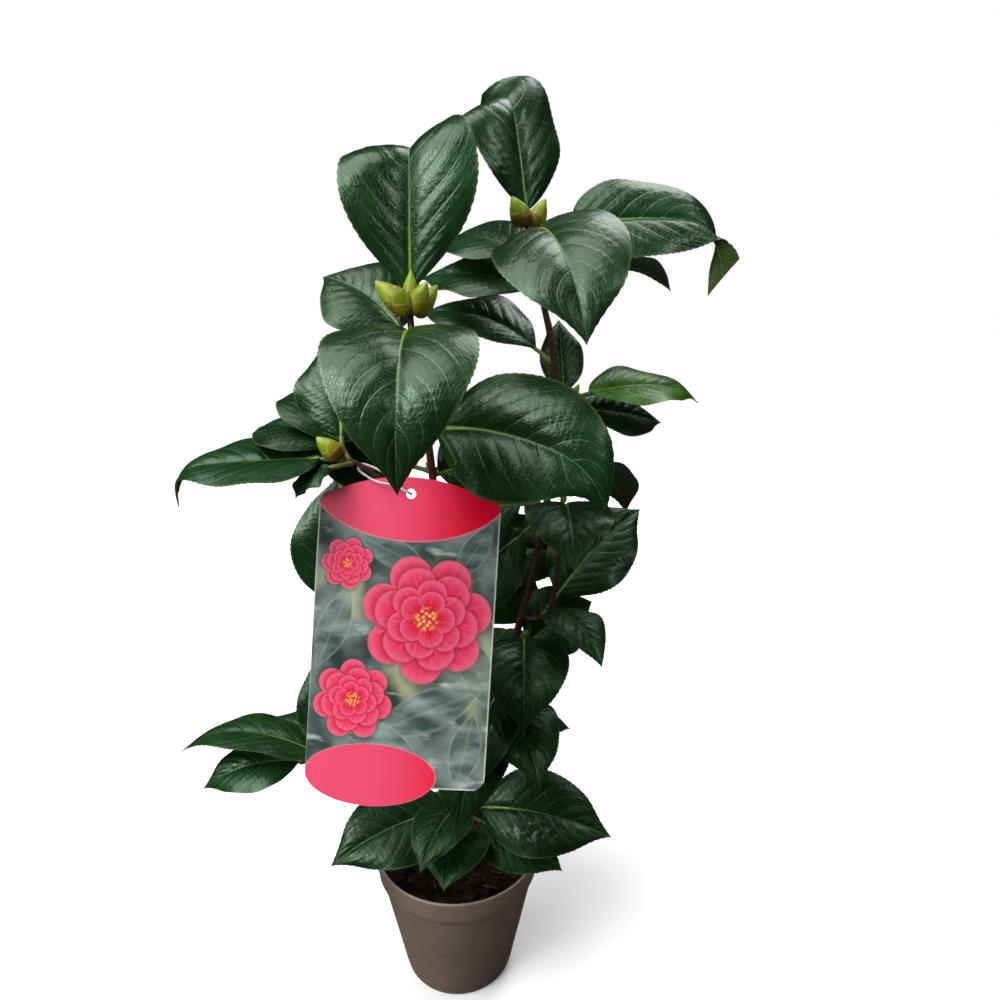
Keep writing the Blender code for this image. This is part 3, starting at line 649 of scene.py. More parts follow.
def masses(limbs):
    # each mass of foliage: its stem, the seed and number of the leaves that the rule may add, the middle
    # and the spread of their directions, and its own leaves and buds
    right = limbs["bough_right"]
    left = limbs["bough_left"]
    trunk = limbs["trunk"]
    low = limbs["bough_low"]
    thin = (wood["twig"], wood["twig"])
    plan = {}

    def mass(name, stem, seed, extra, around, leaves=(), buds=()):
        own = {"stem": stem, "seed": seed, "extra": extra, "around": around}
        plan["foliage_" + name] = {**own, "leaves": leaves, "buds": buds}

    mass("left_crown", onward(left, spot(-11, -55, 360), (-100, 80)), 3, 2, (120, 25), [
        leaf(0.96, 92, 79, 10, 94, 58, fold=24, hook=105, bend=0.45, skew=0.10, taper=1.0),
        leaf(0.86, -89, 8, 108, 83, 55, fold=16, taper=0.65), leaf(0.80, 148, 47, 40, 47, 44, roll=-36),
        leaf(0.62, 130, 8, 30, 44, 30, roll=-35),
        leaf(0.32, -24, 8, 46, 84, 58, roll=55, hook=35, petiole=5),
        leaf(0.06, 176, 14, 24, 44, 32, roll=-50, fold=10),
        leaf(0.03, 32, 14, 30, 46, 40, roll=58, petiole=3),
    ], [
        bud(0.99, 165, 40, 17, 8.5, 2), bud(0.97, -118, 50, 13, 8, 2), bud(1.00, 60, 82, 14, 6),
        bud(0.97, -35, 55, 14, 7.5, 2), bud(0.96, 15, 50, 15, 7.5, 3),
    ])
    mass("left_shoot", sideShoot(left, 0.93, 245, spot(-38, -66, 304), (180, 10)), 5, 0, (120, 40), [
        leaf(0.97, 184, 1, 10, 66, 45, roll=-14, hook=84, bend=0.62, taper=0.5),
        leaf(0.95, 150, 30, 48, 42, 40, roll=-15), leaf(0.93, 128, 42, 40, 47, 36),
        leaf(0.98, 105, 66, 20, 46, 36, roll=-20), leaf(0.90, 205, -8, 60, 18, 20, roll=-10),
    ], [bud(1.0, 190, 44, 12, 7.5)])
    mass("right_crown", onward(right, spot(36, 1, 397), (160, 80)), 8, 0, (75, 30), [
        leaf(0.97, 121, 78, 10, 87, 47, fold=12, hook=105, bend=0.45, skew=0.15, taper=0.88),
        leaf(0.95, -81, 4, 78, 89, 54, roll=24, twist=-10, sway=13, taper=1.0),
        leaf(0.96, 0, 10, 24, 84, 46, roll=55, hook=64, bend=0.54, skew=0.12, petiole=20, taper=0.5),
        leaf(0.78, 28, 10, 30, 73, 40, hook=20, petiole=11), leaf(0.80, 130, 28, 40, 66, 42, roll=-28),
        leaf(0.60, 146, 24, 36, 66, 42, roll=-30),
        leaf(0.20, 150, 38, 48, 71, 42, roll=-25, petiole=12, taper=1.1),
    ], [bud(1.0, -150, 58, 14, 9, 2), bud(0.98, 15, 64, 15, 8, 3)])
    mass("right_upper", sideShoot(right, 0.97, -10, spot(58, -2, 322), (-5, 60)), 11, 1, (90, 50), [
        leaf(0.85, 14, 14, 31, 60, 39, roll=22, hook=23, young=1), leaf(0.35, 24, -4, 14, 48, 36, roll=35),
        leaf(0.30, 92, 58, 14, 44, 22),
    ])
    mass("right_side", sideShoot(right, 0.42, -15, spot(54, -7, 271), (20, 80)), 13, 0, (60, 40), [
        leaf(0.97, -90, 22, 80, 55, 40), leaf(0.28, 36, 44, 25, 68, 44, roll=38),
        leaf(0.20, -64, 28, 78, 49, 27),
    ])
    mass("lower_right", sideShoot(right, 0.30, -75, spot(36, -14, 204), (-80, 50)), 17, 0, (0, 60), [
        leaf(0.90, -92, 25, 105, 56, 42), leaf(0.40, 22, 40, 30, 40, 38, roll=50),
    ])
    mass("lower_front", sideShoot(right, 0.10, -90, spot(25, -15, 176), (-70, 60)), 19, 0, (0, 60), [
        leaf(0.90, -73, 12, 62, 53, 37), leaf(0.45, 8, -4, 30, 34, 28), leaf(0.95, -104, 20, 90, 58, 34),
        leaf(0.40, -104, 15, 80, 62, 36),
    ])
    mass("base", sideShoot(trunk, 0.32, -60, spot(5, -12, 106), (-80, 70)), 23, 0, (0, 60), [
        leaf(0.90, -16, 14, 32, 70, 46, roll=35, residue=1), leaf(0.60, -30, 2, 26, 50, 36, roll=25),
        leaf(0.85, -153, 14, 44, 66, 44, roll=-30), leaf(0.95, -112, 32, 75, 46, 30),
        leaf(0.50, -100, 22, 60, 42, 36),
    ])
    mass("lower_left", onward(low, spot(-72, -30, 145), (200, 20), thin), 29, 0, (150, 60), [
        leaf(0.30, 180, 37, 60, 77, 36, roll=4, hook=14, bend=0.5),
        leaf(0.98, 194, 17, 53, 47, 32, roll=-20, petiole=4), leaf(0.20, 150, 30, 40, 46, 32),
        leaf(0.20, 125, 62, 30, 48, 34), leaf(0.60, -70, 28, 50, 24, 20),
    ], [bud(1.0, 170, 40, 8, 5)])
    mass("left_side", sideShoot(left, 0.50, 200, spot(-52, -32, 221), (190, 50)), 31, 1, (120, 40), [
        leaf(0.97, 96, 76, 20, 62, 44), leaf(0.60, 115, 25, 50, 42, 34),
    ])
    mass("back", sideShoot(right, 0.62, 95, spot(46, 30, 300), (100, 75)), 37, 5, (112, 58), [
        leaf(0.30, 184, -38, 8, 68, 46, roll=-60), leaf(0.45, 178, 0, 30, 50, 44, roll=-60),
    ])
    mass("back_left", sideShoot(left, 0.36, 120, spot(-14, 26, 240), (120, 70)), 41, 5, (108, 62), [
        leaf(0.9, 8, -20, 20, 66, 46, roll=55), leaf(0.96, 6, 2, 12, 80, 44, roll=52),
    ])
    mass("back_low", sideShoot(trunk, 0.72, 95, spot(14, 30, 156), (80, 70)), 43, 6, (112, 62))
    return plan


def probe(stem, spec):
    # points spread over one leaf, by which it is kept clear of the others
    points = []
    for q in ruleTwigs["across"]:
        for station in leafFrames(stem, spec, ruleTwigs["along"], q)[2:]:
            points.append(bladePoint(spec, station, q))
    return points


def limbProbe(stem):
    return [along(stem, k / 24)[0] for k in range(25)]


def hasRoom(points, taken):
    gaps = np.linalg.norm(np.array(points)[:, None, :] - taken[None, :, :], axis=2)
    return gaps.min() > ruleTwigs["clear"]


def grow(plan, limbs):
    # leaves a golden angle apart up each stem, on short twigs, wherever there is room
    taken = [p for stem in limbs.values() for p in limbProbe(stem)]
    for mass in plan.values():
        mass["twigs"] = []
        taken += limbProbe(mass["stem"])
        for spec in mass["leaves"]:
            taken += probe(mass["stem"], spec)
    taken = np.array(taken)
    golden = ruleTwigs["golden"]
    for mass in plan.values():
        chance = random.Random(mass["seed"])
        for k in range(mass["extra"] * ruleTwigs["tries"]):
            at = 0.20 + 0.75 * ((k * golden) % 1.0)
            middle, spread = mass["around"]
            turn = 2 * ((k * golden * 3 + 0.5) % 1.0) - 1
            toward = middle + spread * turn + chance.uniform(-1, 1) * ruleTwigs["swing"]
            point, _, _ = along(mass["stem"], at)
            end = point + heading(toward, 35) * chance.uniform(*ruleTwigs["twig"])
            twig = limb(point, (toward, 15), end, (toward, 45), (wood["twig"], wood["twig"] * 0.8), 3)
            spec = leaf(
                0.98,
                toward + chance.uniform(-20, 20),
                chance.uniform(0, 30),
                chance.uniform(35, 70),
                chance.uniform(*ruleTwigs["leaf"]),
                roll=chance.uniform(-15, 15),
                hook=chance.uniform(0, 25),
            )
            if len(mass["twigs"]) < mass["extra"] and end.z > potHeight + ruleTwigs["overPot"]:
                points = probe(twig, spec) + limbProbe(twig)[ruleTwigs["twigFrom"]:]
                if hasRoom(points, taken):
                    mass["twigs"].append((twig, spec))
                    taken = np.concatenate([taken, np.array(points)])


# Sheets and tubes that the pieces are shaped from

def sheetOfCells(across, along):
    # a flat closed sheet with a top and an underside; "across" lists its lines from -1 to 1, and
    # each corner keeps its own lines' places as UV. The underside takes the second material.
    sheet = bmesh.new()
    last = (len(across) - 1, len(along) - 1)
    bmesh.ops.create_grid(sheet, x_segments=last[0], y_segments=last[1], size=1)
    thicken(sheet, 1)

    def lines(v):
        i, k = (round((at + 1) / 2 * n) for at, n in zip(v.co, last))
        return (across[i] + 1) / 2, along[k]

    layUv(sheet, lines)
    for face in sheet.faces:
        face.material_index = 1 if face.normal.z < -0.5 else 0
    mesh = partMesh(sheet)
    points = pointsOf(mesh)
    cells = np.rint((points[:, :2] + 1) / 2 * last).astype(int)
    return mesh, cells, points[:, 2] > 0.5


def shapedSheet(sheet, top, under, tint, oneSided=False):
    # a copy of the sheet with its two sides moved to these points
    flat, cells, isTop = sheet
    mesh = flat.copy()
    high = top[cells[:, 0], cells[:, 1]]
    low = under[cells[:, 0], cells[:, 1]]
    setPoints(mesh, np.where(isTop[:, None], high, low))
    setTint(mesh, tint)
    if oneSided:
        mesh.polygons.foreach_set("material_index", np.zeros(len(mesh.polygons), np.int32))
    return mesh


def rolledTube(spine, radii, sides, relief=None, materialIndex=0, tint=(1, 1, 1, 1)):
    # a sheet of cells rolled round a spine, with its seam merged and both ends closed;
    # relief gives a factor on the radius at (angle, run); UV is (share round, run in centimetres)
    tube = bmesh.new()
    last = len(spine) - 1
    bmesh.ops.create_grid(tube, x_segments=sides, y_segments=last, size=1)
    rings = []
    side = Vector((1, 0, 0))
    run = 0.0
    for k, point in enumerate(spine):
        ahead = (spine[min(k + 1, last)] - spine[max(k - 1, 0)]).normalized()
        if k == 0 and abs(ahead.x) > 0.9:
            side = Vector((0, 1, 0))
        side = (side - ahead * side.dot(ahead)).normalized()
        run += (point - spine[max(k - 1, 0)]).length
        rings.append((side, ahead.cross(side), run))

    def cell(v):
        return round((v.co.x + 1) / 2 * sides), round((v.co.y + 1) / 2 * last)

    layUv(tube, lambda v: (cell(v)[0] / sides, rings[cell(v)[1]][2] / (10 * mm)))
    for v in tube.verts:
        i, k = cell(v)
        angle = 2 * math.pi * (i % sides) / sides
        side, other, run = rings[k]
        size = radii[k] * (relief(angle, run) if relief else 1)
        v.co = spine[k] + side * (math.cos(angle) * size) + other * (math.sin(angle) * size)
    bmesh.ops.remove_doubles(tube, verts=tube.verts, dist=1e-7)
    bmesh.ops.holes_fill(tube, edges=[e for e in tube.edges if e.is_boundary])
    for face in tube.faces:
        face.material_index = materialIndex
    bmesh.ops.recalc_face_normals(tube, faces=tube.faces)
    return partMesh(tube, tint)


# Leaves

blade = {
    "columns": 26,
    "stations": 112,
    "thick": 0.50,
    "rim": 0.25,
    "least": 0.12,  # half width at its very tip
    "toothStations": 4,
    "toothDepth": 0.38,
    "groove": 0.38,
    "grooveWidth": 1.1,
    "quilt": 0.55,  # how far the blade stands up between its lateral veins
    "wave": 0.9,
    "waves": 2.3,
    "sag": 0.8,
    "petiole": 1.0,
    "petioleFoot": 1.5,
    "ribTip": 0.22,
    "ribEnd": 0.92,  # share of the blade's length
    "petioleSides": 10,
    "petioleSteps": 8,
}
leafTints = {
    "mature": (0.0044, 0.0240, 0.0042),
    "young": (0.042, 0.150, 0.004),
    "spread": 0.22,
    "redSpread": 0.25,
}


def bladeLines():
    # lines across a blade lie closer by the midrib and the margin
    lines = []
    for i in range(blade["columns"] + 1):
        x = 2 * i / blade["columns"] - 1
        d = abs(x)
        lines.append(math.copysign(0.4 * d + 0.6 * d * d * (3 - 2 * d), x))
    return lines


bladeAcross = bladeLines()
bladeAlong = [k / blade["stations"] for k in range(blade["stations"] + 1)]
bladeSheet = sheetOfCells(bladeAcross, bladeAlong)


def unit(arrows):
    return arrows / np.linalg.norm(arrows, axis=2)[:, :, None]


def bladeSides(stem, spec, chance):
    # points of the top and the underside
    middle = []
    for q in bladeAcross:
        stations = leafFrames(stem, spec, bladeAlong, q)[2:]
        middle.append([bladePoint(spec, station, q, blade["least"] * mm) for station in stations])
    middle = np.array(middle)
    t = np.array(bladeAlong)[None, :]
    q = np.array(bladeAcross)[:, None]
    outward = np.abs(q)
    across = unit(np.gradient(middle, axis=0))
    up = unit(np.cross(across, np.gradient(middle, axis=1)))
    half = np.linalg.norm(middle - middle[len(bladeAcross) // 2], axis=2)

    start = t - veining["lean"] * outward - veining["curl"] * outward**3
    vein = np.abs(2 * ((start * veining["pairs"] + 0.5 * (q > 0)) % 1.0) - 1)
    reach = softSteps(0.03, 0.2, outward) * (1 - softSteps(0.62, 0.96, outward))
    reach = reach * (1 - softSteps(0.8, 0.97, t))
    groove = blade["groove"] * np.exp(-((half / (blade["grooveWidth"] * mm)) ** 2)) * (1 - 0.6 * t)
    relief = blade["quilt"] * (1 - vein**4) * reach - groove
    ripple = chance.uniform(0, 6.28) + 2 * math.pi * blade["waves"] * t * chance.uniform(0.8, 1.2)
    calm = softSteps(0.04, 0.3, t) * (1 - softSteps(0.78, 0.98, t))
    wave = blade["wave"] * chance.uniform(0.5, 1.3) * np.sin(ripple + 1.9 * np.sign(q)) * outward**3 * calm
    slow = noise.noise(Vector((spec["toward"], spec["rise"], spec["at"])))
    wave = wave + blade["sag"] * slow * np.sin(math.pi * t) * outward**2

    step = np.arange(len(bladeAlong)) % blade["toothStations"] / (blade["toothStations"] - 1)
    tooth = blade["toothDepth"] * step[None, :] * softSteps(0.10, 0.2, t) * (1 - softSteps(0.93, 0.98, t))
    tooth = tooth * (outward > 0.999) * np.sign(q)
    thick = blade["thick"] + (blade["rim"] - blade["thick"]) * outward**6

    middle = middle + up * (wave * mm)[:, :, None] + across * (tooth * mm)[:, :, None]
    top = middle + up * ((relief + thick / 2) * mm)[:, :, None]
    under = middle + up * ((0.8 * relief - thick / 2) * mm)[:, :, None]
    return top, under


def leafTint(spec, chance):
    # one plain colour for each leaf; its alpha says how much dried residue is on it
    base = Vector(leafTints["mature"]).lerp(Vector(leafTints["young"]), spec["young"])
    base *= 1 + leafTints["spread"] * chance.uniform(-1, 1)
    base.x *= 1 + leafTints["redSpread"] * chance.uniform(-1, 1)
    return (*base, spec["residue"])


def leafParts(stem, spec, chance):
    # the blade, and the petiole that runs on under it as its midrib
    top, under = bladeSides(stem, spec, chance)
    parts = [shapedSheet(bladeSheet, top, under, leafTint(spec, chance))]
    line = len(bladeAcross) // 2
    start, _, _ = along(stem, spec["at"])
    base = leafFrames(stem, spec, (0.0,))[-1][1]
    spine = []
    radii = []
    for k in range(blade["petioleSteps"]):
        t = k / blade["petioleSteps"]
        spine.append(start.lerp(base, t))
        swell = (blade["petioleFoot"] - blade["petiole"]) * (1 - softStep(0, 0.45, t))
        radii.append(blade["petiole"] + swell)
    for k in range(0, int(blade["ribEnd"] * blade["stations"]), 2):
        t = bladeAlong[k]
        size = blade["petiole"] + (blade["ribTip"] - blade["petiole"]) * t**0.7
        sink = size * 0.9 * softStep(0.0, 0.10, t)
        up = Vector(top[line, k] - under[line, k]).normalized()
        spine.append(Vector((top[line, k] + under[line, k]) / 2) - up * (sink * mm))
        radii.append(size)
    parts.append(rolledTube(spine, [r * mm for r in radii], blade["petioleSides"], materialIndex=2))
    return parts


# Stems and bark

barkRelief = {
    "limbSides": 24,
    "shootSides": 12,
    "twigSides": 10,
    "ring": 0.8,  # length of one ring of cells
    "knots": 19,  # between two leaf scars
    "knotLong": 1.6,
    "knotHigh": 0.16,  # as a share of the radius
    "ridge": 0.07,
    "ridgeLong": 9,
    "lump": 0.08,
    "lumpLong": 14,
    "rooted": 2.6,  # how far a limb reaches back into the one that bears it
    "flare": 0.28,  # of the trunk's foot, as a share of its radius
    "flareHigh": 70,
}


def barkFactor(seed, spread):
    # relief of a stem as a factor on its radius: long ridges, slow lumps and leaf scars
    def factor(angle, run):
        x = math.cos(angle)
        y = math.sin(angle)
        away = run / mm
        ridge = noise.noise(Vector((4 * x, 4 * y + seed, away / barkRelief["ridgeLong"])))
        lump = noise.noise(Vector((x + seed, y, away / barkRelief["lumpLong"])))
        size = 1 + barkRelief["ridge"] * ridge + barkRelief["lump"] * lump
        number = round(away / barkRelief["knots"])
        if number:
            near = away - number * barkRelief["knots"] - 2 * math.sin(number * 4.1 + seed)
            facing = 0.5 + 0.5 * math.cos(angle - number * 2.4 - seed)
            size += barkRelief["knotHigh"] * math.exp(-((near / barkRelief["knotLong"]) ** 2)) * facing**2
        low = 1 - softStep(0, 0.30, away / barkRelief["flareHigh"])
        return size + spread * low * (0.5 + 0.5 * math.cos(4 * angle + seed))
    return factor


def stemMesh(stem, seed, sides, spread=0.0, rootBack=True):
    # a limb with the bark's relief; its tip is rounded, and its foot sits in the limb that bears it
    start, leave, end, arrive = stem["ends"]
    steps = max(6, round((end - start).length / (barkRelief["ring"] * mm)))
    spine, radii = limbRings(stem, steps)
    if rootBack:
        spine.insert(0, start - leave.normalized() * (barkRelief["rooted"] * mm))
        radii.insert(0, radii[0])
    tip = radii[-1]
    for share in (0.45, 0.75, 0.93):
        spine.append(end + arrive.normalized() * (tip * share))
        radii.append(tip * math.sqrt(1 - share * share))
    return rolledTube(spine, radii, sides, barkFactor(seed, spread))


# Buds

budShape = {
    "scales": 7,
    "around": 137.5,
    "halfTurn": 86,
    "thick": 0.24,
    "firstReach": 0.34,
    "puff": 0.10,
    "coreSides": 14,
    "axil": {"rise": 62, "long": 3.6 * mm, "radius": 0.85 * mm, "count": 2},  # one beside each petiole
    "tip": {"long": 6 * mm, "radius": 1.5 * mm, "count": 4},  # on a stem that bears no bud of its own
    "outer": (0.17, 0.095, 0.004),
    "middle": (0.25, 0.24, 0.004),
    "inner": (0.22, 0.36, 0.008),
}
scaleAcross = [i / 5 - 1 for i in range(11)]
scaleAlong = [k / 11 for k in range(12)]
scaleSheet = sheetOfCells(scaleAcross, scaleAlong)


def budProfile(t):
    # radius of a bud as a share of its greatest
    return math.sin(math.pi * min(max(t, 0.0), 1.0) ** 0.62) ** 0.7


def budParts(root, toward, rise, long, radius, count, seed):
    # overlapping scales wound round a pointed core, the lowest outermost
    ahead = heading(toward, rise)
    side = heading(toward + 90, 0)
    other = ahead.cross(side)
    runs = [0.03 + 0.94 * k / 12 for k in range(13)]
    core = [root + ahead * (long * run) for run in runs]
    sizes = [max(0.12 * mm, radius * 0.92 * budProfile(run)) for run in runs]
    outer, middle, inner = (Vector(budShape[key]) for key in ("outer", "middle", "inner"))
    parts = [rolledTube(core, sizes, budShape["coreSides"], tint=(*inner, 1))]
    chance = random.Random(seed)
    for n in range(count):
        place = n / max(1, count - 1)
        reach = budShape["firstReach"] + (1.02 - budShape["firstReach"]) * place
        low = 0.02 + 0.10 * place
        puff = 1 + budShape["puff"] * (1 - place)
        turn = budShape["around"] * n + chance.uniform(-10, 10)
        sides = np.zeros((2, len(scaleAcross), len(scaleAlong), 3))
        for i, a in enumerate(scaleAcross):
            for k, b in enumerate(scaleAlong):
                t = low + (reach - low) * b
                angle = math.radians(turn + a * budShape["halfTurn"] * math.sqrt(max(0.0004, 1 - b**2.6)))
                out = side * math.cos(angle) + other * math.sin(angle)
                for s, lift in enumerate((0.5, -0.5)):
                    size = radius * (budProfile(t) * puff - 0.04 * b**3) + lift * budShape["thick"] * mm
                    sides[s, i, k] = root + ahead * (long * t) + out * max(size, 0.05 * mm)
        colour = outer.lerp(middle, min(1, 2 * place)).lerp(inner, max(0, 2 * place - 1))
        colour = colour * chance.uniform(0.85, 1.15)
        parts.append(shapedSheet(scaleSheet, *sides, (*colour, 1), oneSided=True))
    return parts


def massPieces(name, mass):
    # the leaves, the twigs and the buds of one mass, each kind as its own piece
    label = name.replace("foliage_", "")
    chance = random.Random(mass["seed"] + 100)
    leaves = []
    twigs = [stemMesh(mass["stem"], mass["seed"], barkRelief["shootSides"])]
    buds = []
    borne = [(mass["stem"], spec) for spec in mass["leaves"]] + mass["twigs"]
    for twig, spec in mass["twigs"]:
        twigs.append(stemMesh(twig, mass["seed"] + 1, barkRelief["twigSides"], rootBack=False))
    for k, (stem, spec) in enumerate(borne):
        leaves += leafParts(stem, spec, chance)
        point, ahead, radius = along(stem, spec["at"])
        axil = point + heading(spec["toward"], 10) * (radius * 0.6) + ahead * (0.8 * mm)
        buds += budParts(axil, spec["toward"], seed=k, **budShape["axil"])
    for k, spec in enumerate(mass["buds"]):
        point, _, _ = along(mass["stem"], spec["at"])
        root = point + heading(spec["toward"], 0) * spec["step"] * 0.5
        aim = (spec["toward"], spec["rise"], spec["long"], spec["radius"])
        buds += budParts(root, *aim, budShape["scales"], 7 * k)
    if not mass["buds"]:
        point, ahead, _ = along(mass["stem"], 1.0)
        buds += budParts(point, *angles(ahead), seed=3, **budShape["tip"])
    newPiece("leaves_" + label, leaves, (leafTop, leafUnder, leafStalk), (name,))
    newPiece("twigs_" + label, twigs, (bark,), (name,))
    newPiece("buds_" + label, buds, (budScale,), (name,))


limbs = skeleton()
plan = masses(limbs)
grow(plan, limbs)
for name, stem in limbs.items():
    flare = barkRelief["flare"] if name == "trunk" else 0.0
    seed = sum(map(ord, name)) % 17
    made = stemMesh(stem, seed, barkRelief["limbSides"], flare, name != "trunk")
    newPiece("bark_" + name, [made], (bark,), (name,))
print("trunk and boughs ready")
for name, mass in plan.items():
    massPieces(name, mass)
    print("mass ready:", name, len(mass["leaves"]) + len(mass["twigs"]), "leaves")


# Pot and compost

potShape = {
    "bandDepth": 12,
    "bandStep": 2.2,
    "baseRadius": 30,
    "wall": 1.6,
    "floor": 2.0,
    "lip": 0.7,
    "steps": 144,
    "holes": 4,
    "holeRadius": 3.5,
    "holeRing": 19,
    "colour": (0.235, 0.175, 0.140),
    "dark": (0.150, 0.108, 0.085),
    "scuff": (0.42, 0.35, 0.30),
    "dust": (0.10, 0.07, 0.05),
}


def turnedShape(profile, steps):
    # a bmesh spun about Z from (radius, height) in millimetres; the first and last lie on the axis
    shape = bmesh.new()
    points = [shape.verts.new((radius * mm, 0, height * mm)) for radius, height in profile]
    edges = [shape.edges.new(pair) for pair in zip(points, points[1:])]
    turn = {"cent": (0, 0, 0), "axis": (0, 0, 1), "angle": 2 * math.pi, "steps": steps}
    bmesh.ops.spin(shape, geom=points + edges, use_merge=True, **turn)
    bmesh.ops.remove_doubles(shape, verts=shape.verts, dist=1e-6)
    bmesh.ops.recalc_face_normals(shape, faces=shape.faces)
    return shape


def arc(x, y, radius, first, last, steps):
    # points of an arc in the profile's plane, between two angles in degrees
    turns = [math.radians(first + (last - first) * k / steps) for k in range(steps + 1)]
    return [(x + radius * math.cos(a), y + radius * math.sin(a)) for a in turns]


def makePotPlastic():
    made, tree = newMaterial("potPlastic", Coat_Weight=0.04, Coat_Roughness=0.4)
    place = objectPlace(tree)
    spots = useGroup(mottle, place, 45.0, 1500.0)
    colour = blend(times(spots["broad"], 0.35), potShape["colour"], potShape["dark"])
    scratches = noiseOf(scaled(place, 60.0, 60.0, 900.0), 1.0, 3.0, 0.6)
    scuff = times(ease(scratches, 0.60, 0.72), ease(noiseOf(place, 30.0), 0.5, 0.65))
    rim = ease(apart(place)["Z"], potHeight - 1.0 * mm, potHeight - 0.2 * mm, 0.0, 0.45)
    colour = blend(larger(times(scuff, 0.3), rim), colour, potShape["scuff"])
    dust = ease(noiseOf(place, 110.0, 5.0, 0.7), 0.55, 0.75, 0.0, 0.35)
    colour = blend(dust, colour, potShape["dust"])
    rough = timesPlus(scuff, 0.1, timesPlus(spots["fine"], 0.10, 0.48))
    return finished(made, colour, rough, timesPlus(scuff, -0.5, spots["fine"]), 0.10, 0.15)


def potInside(height):
    # inside radius of the wall at a height, in millimetres
    bodyTop = rimRadius / mm - potShape["bandStep"]
    share = height / (potHeight / mm - potShape["bandDepth"])
    return potShape["baseRadius"] + (bodyTop - potShape["baseRadius"]) * share - potShape["wall"]


def buildPot():
    high = potHeight / mm
    rim = rimRadius / mm
    base = potShape["baseRadius"]
    low = high - potShape["bandDepth"]
    bodyTop = rim - potShape["bandStep"]
    lip = potShape["lip"]
    floor = potShape["floor"]
    profile = [(0, 1.0), (base - 6, 1.0), (base - 5, 0.0)]
    profile += arc(base - 1.2, 1.2, 1.2, -90, -8, 6)
    profile += [(base + (bodyTop - base) * k / 12, low * k / 12) for k in range(1, 12)]
    profile += arc(bodyTop + 0.3, low - 0.5, 0.5, 180, 90, 4)
    profile += arc(rim - 1.3, low + 0.5, 0.5, -90, -5, 4)
    profile += [(rim - 0.35, low + 4), (rim - 0.15, high - 3)]
    profile += arc(rim - lip, high - lip, lip, 0, 180, 10)
    profile += [(rim - potShape["wall"], high - 3), (potInside(low) + 0.4, low + 1)]
    profile += [(potInside(low), low - 1), (potInside(floor), floor), (0, floor)]
    shape = turnedShape(profile, potShape["steps"])
    layUv(shape, lambda v: (v.co.x / (10 * mm), v.co.z / (10 * mm)))
    pot = newPiece("pot_shell", [partMesh(shape)], (potPlastic,), ("pot",), sharpFrom=38)
    cutter = bmesh.new()
    hole = potShape["holeRadius"] * mm
    drill = {"cap_ends": True, "segments": 32, "radius1": hole, "radius2": hole, "depth": 8 * mm}
    for k in range(potShape["holes"]):
        angle = 2 * math.pi * (k + 0.5) / potShape["holes"]
        place = Vector((math.cos(angle), math.sin(angle), 0)) * (potShape["holeRing"] * mm)
        bmesh.ops.create_cone(cutter, matrix=Matrix.Translation(place), **drill)
    drains = addObject("drainCutter", meshOf(cutter))
    cut = pot.modifiers.new("drains", "BOOLEAN")
    cut.operation = "DIFFERENCE"
    cut.object = drains
    holed = bpy.data.meshes.new_from_object(pot.evaluated_get(bpy.context.evaluated_depsgraph_get()))
    pot.modifiers.clear()
    pot.data = holed
    bpy.data.objects.remove(drains)


soilShape = {
    "floor": 2.3,
    "rings": 66,
    "steps": 150,
    "rough": 0.55,
    "coarse": 1.3,
    "roughScale": 420,
    "coarseScale": 95,
    "seed": 71,
    "crumbs": 420,
    "crumb": (0.5, 1.7),
    "fibres": 26,
    "fibre": (3.0, 8.0),
    "shades": (0.7, 1.0, 1.0, 1.6, 3.2),
    "fibreShades": (3, 6),
    "clear": 5.5,  # round the stem
    "colour": (0.007, 0.005, 0.0035),
    "pale": (0.034, 0.020, 0.012),
}


def makeCompost():
    made, tree = newMaterial("compost", Specular_IOR_Level=0.1)
    spots = useGroup(mottle, objectPlace(tree), 160.0, 900.0)
    colour = blend(times(spots["broad"], spots["fine"]), soilShape["colour"], soilShape["pale"])
    colour = blend(1.0, colour, ownTint(tree)["Color"], "MULTIPLY")
    return finished(made, colour, timesPlus(spots["fine"], 0.15, 0.80), spots["relief"], 0.8, 1.0)


def soilHeight(x, y):
    # height of the compost at a place, in metres
    dome = soilTop - 1.5 * mm * softStep(8 * mm, 40 * mm, math.hypot(x, y))
    coarse = noise.noise(Vector((x, y, 0.3)) * soilShape["coarseScale"])
    fine = noise.noise(Vector((x, y, 0.9)) * soilShape["roughScale"])
    return dome + (soilShape["coarse"] * coarse + soilShape["rough"] * fine - 0.6) * mm


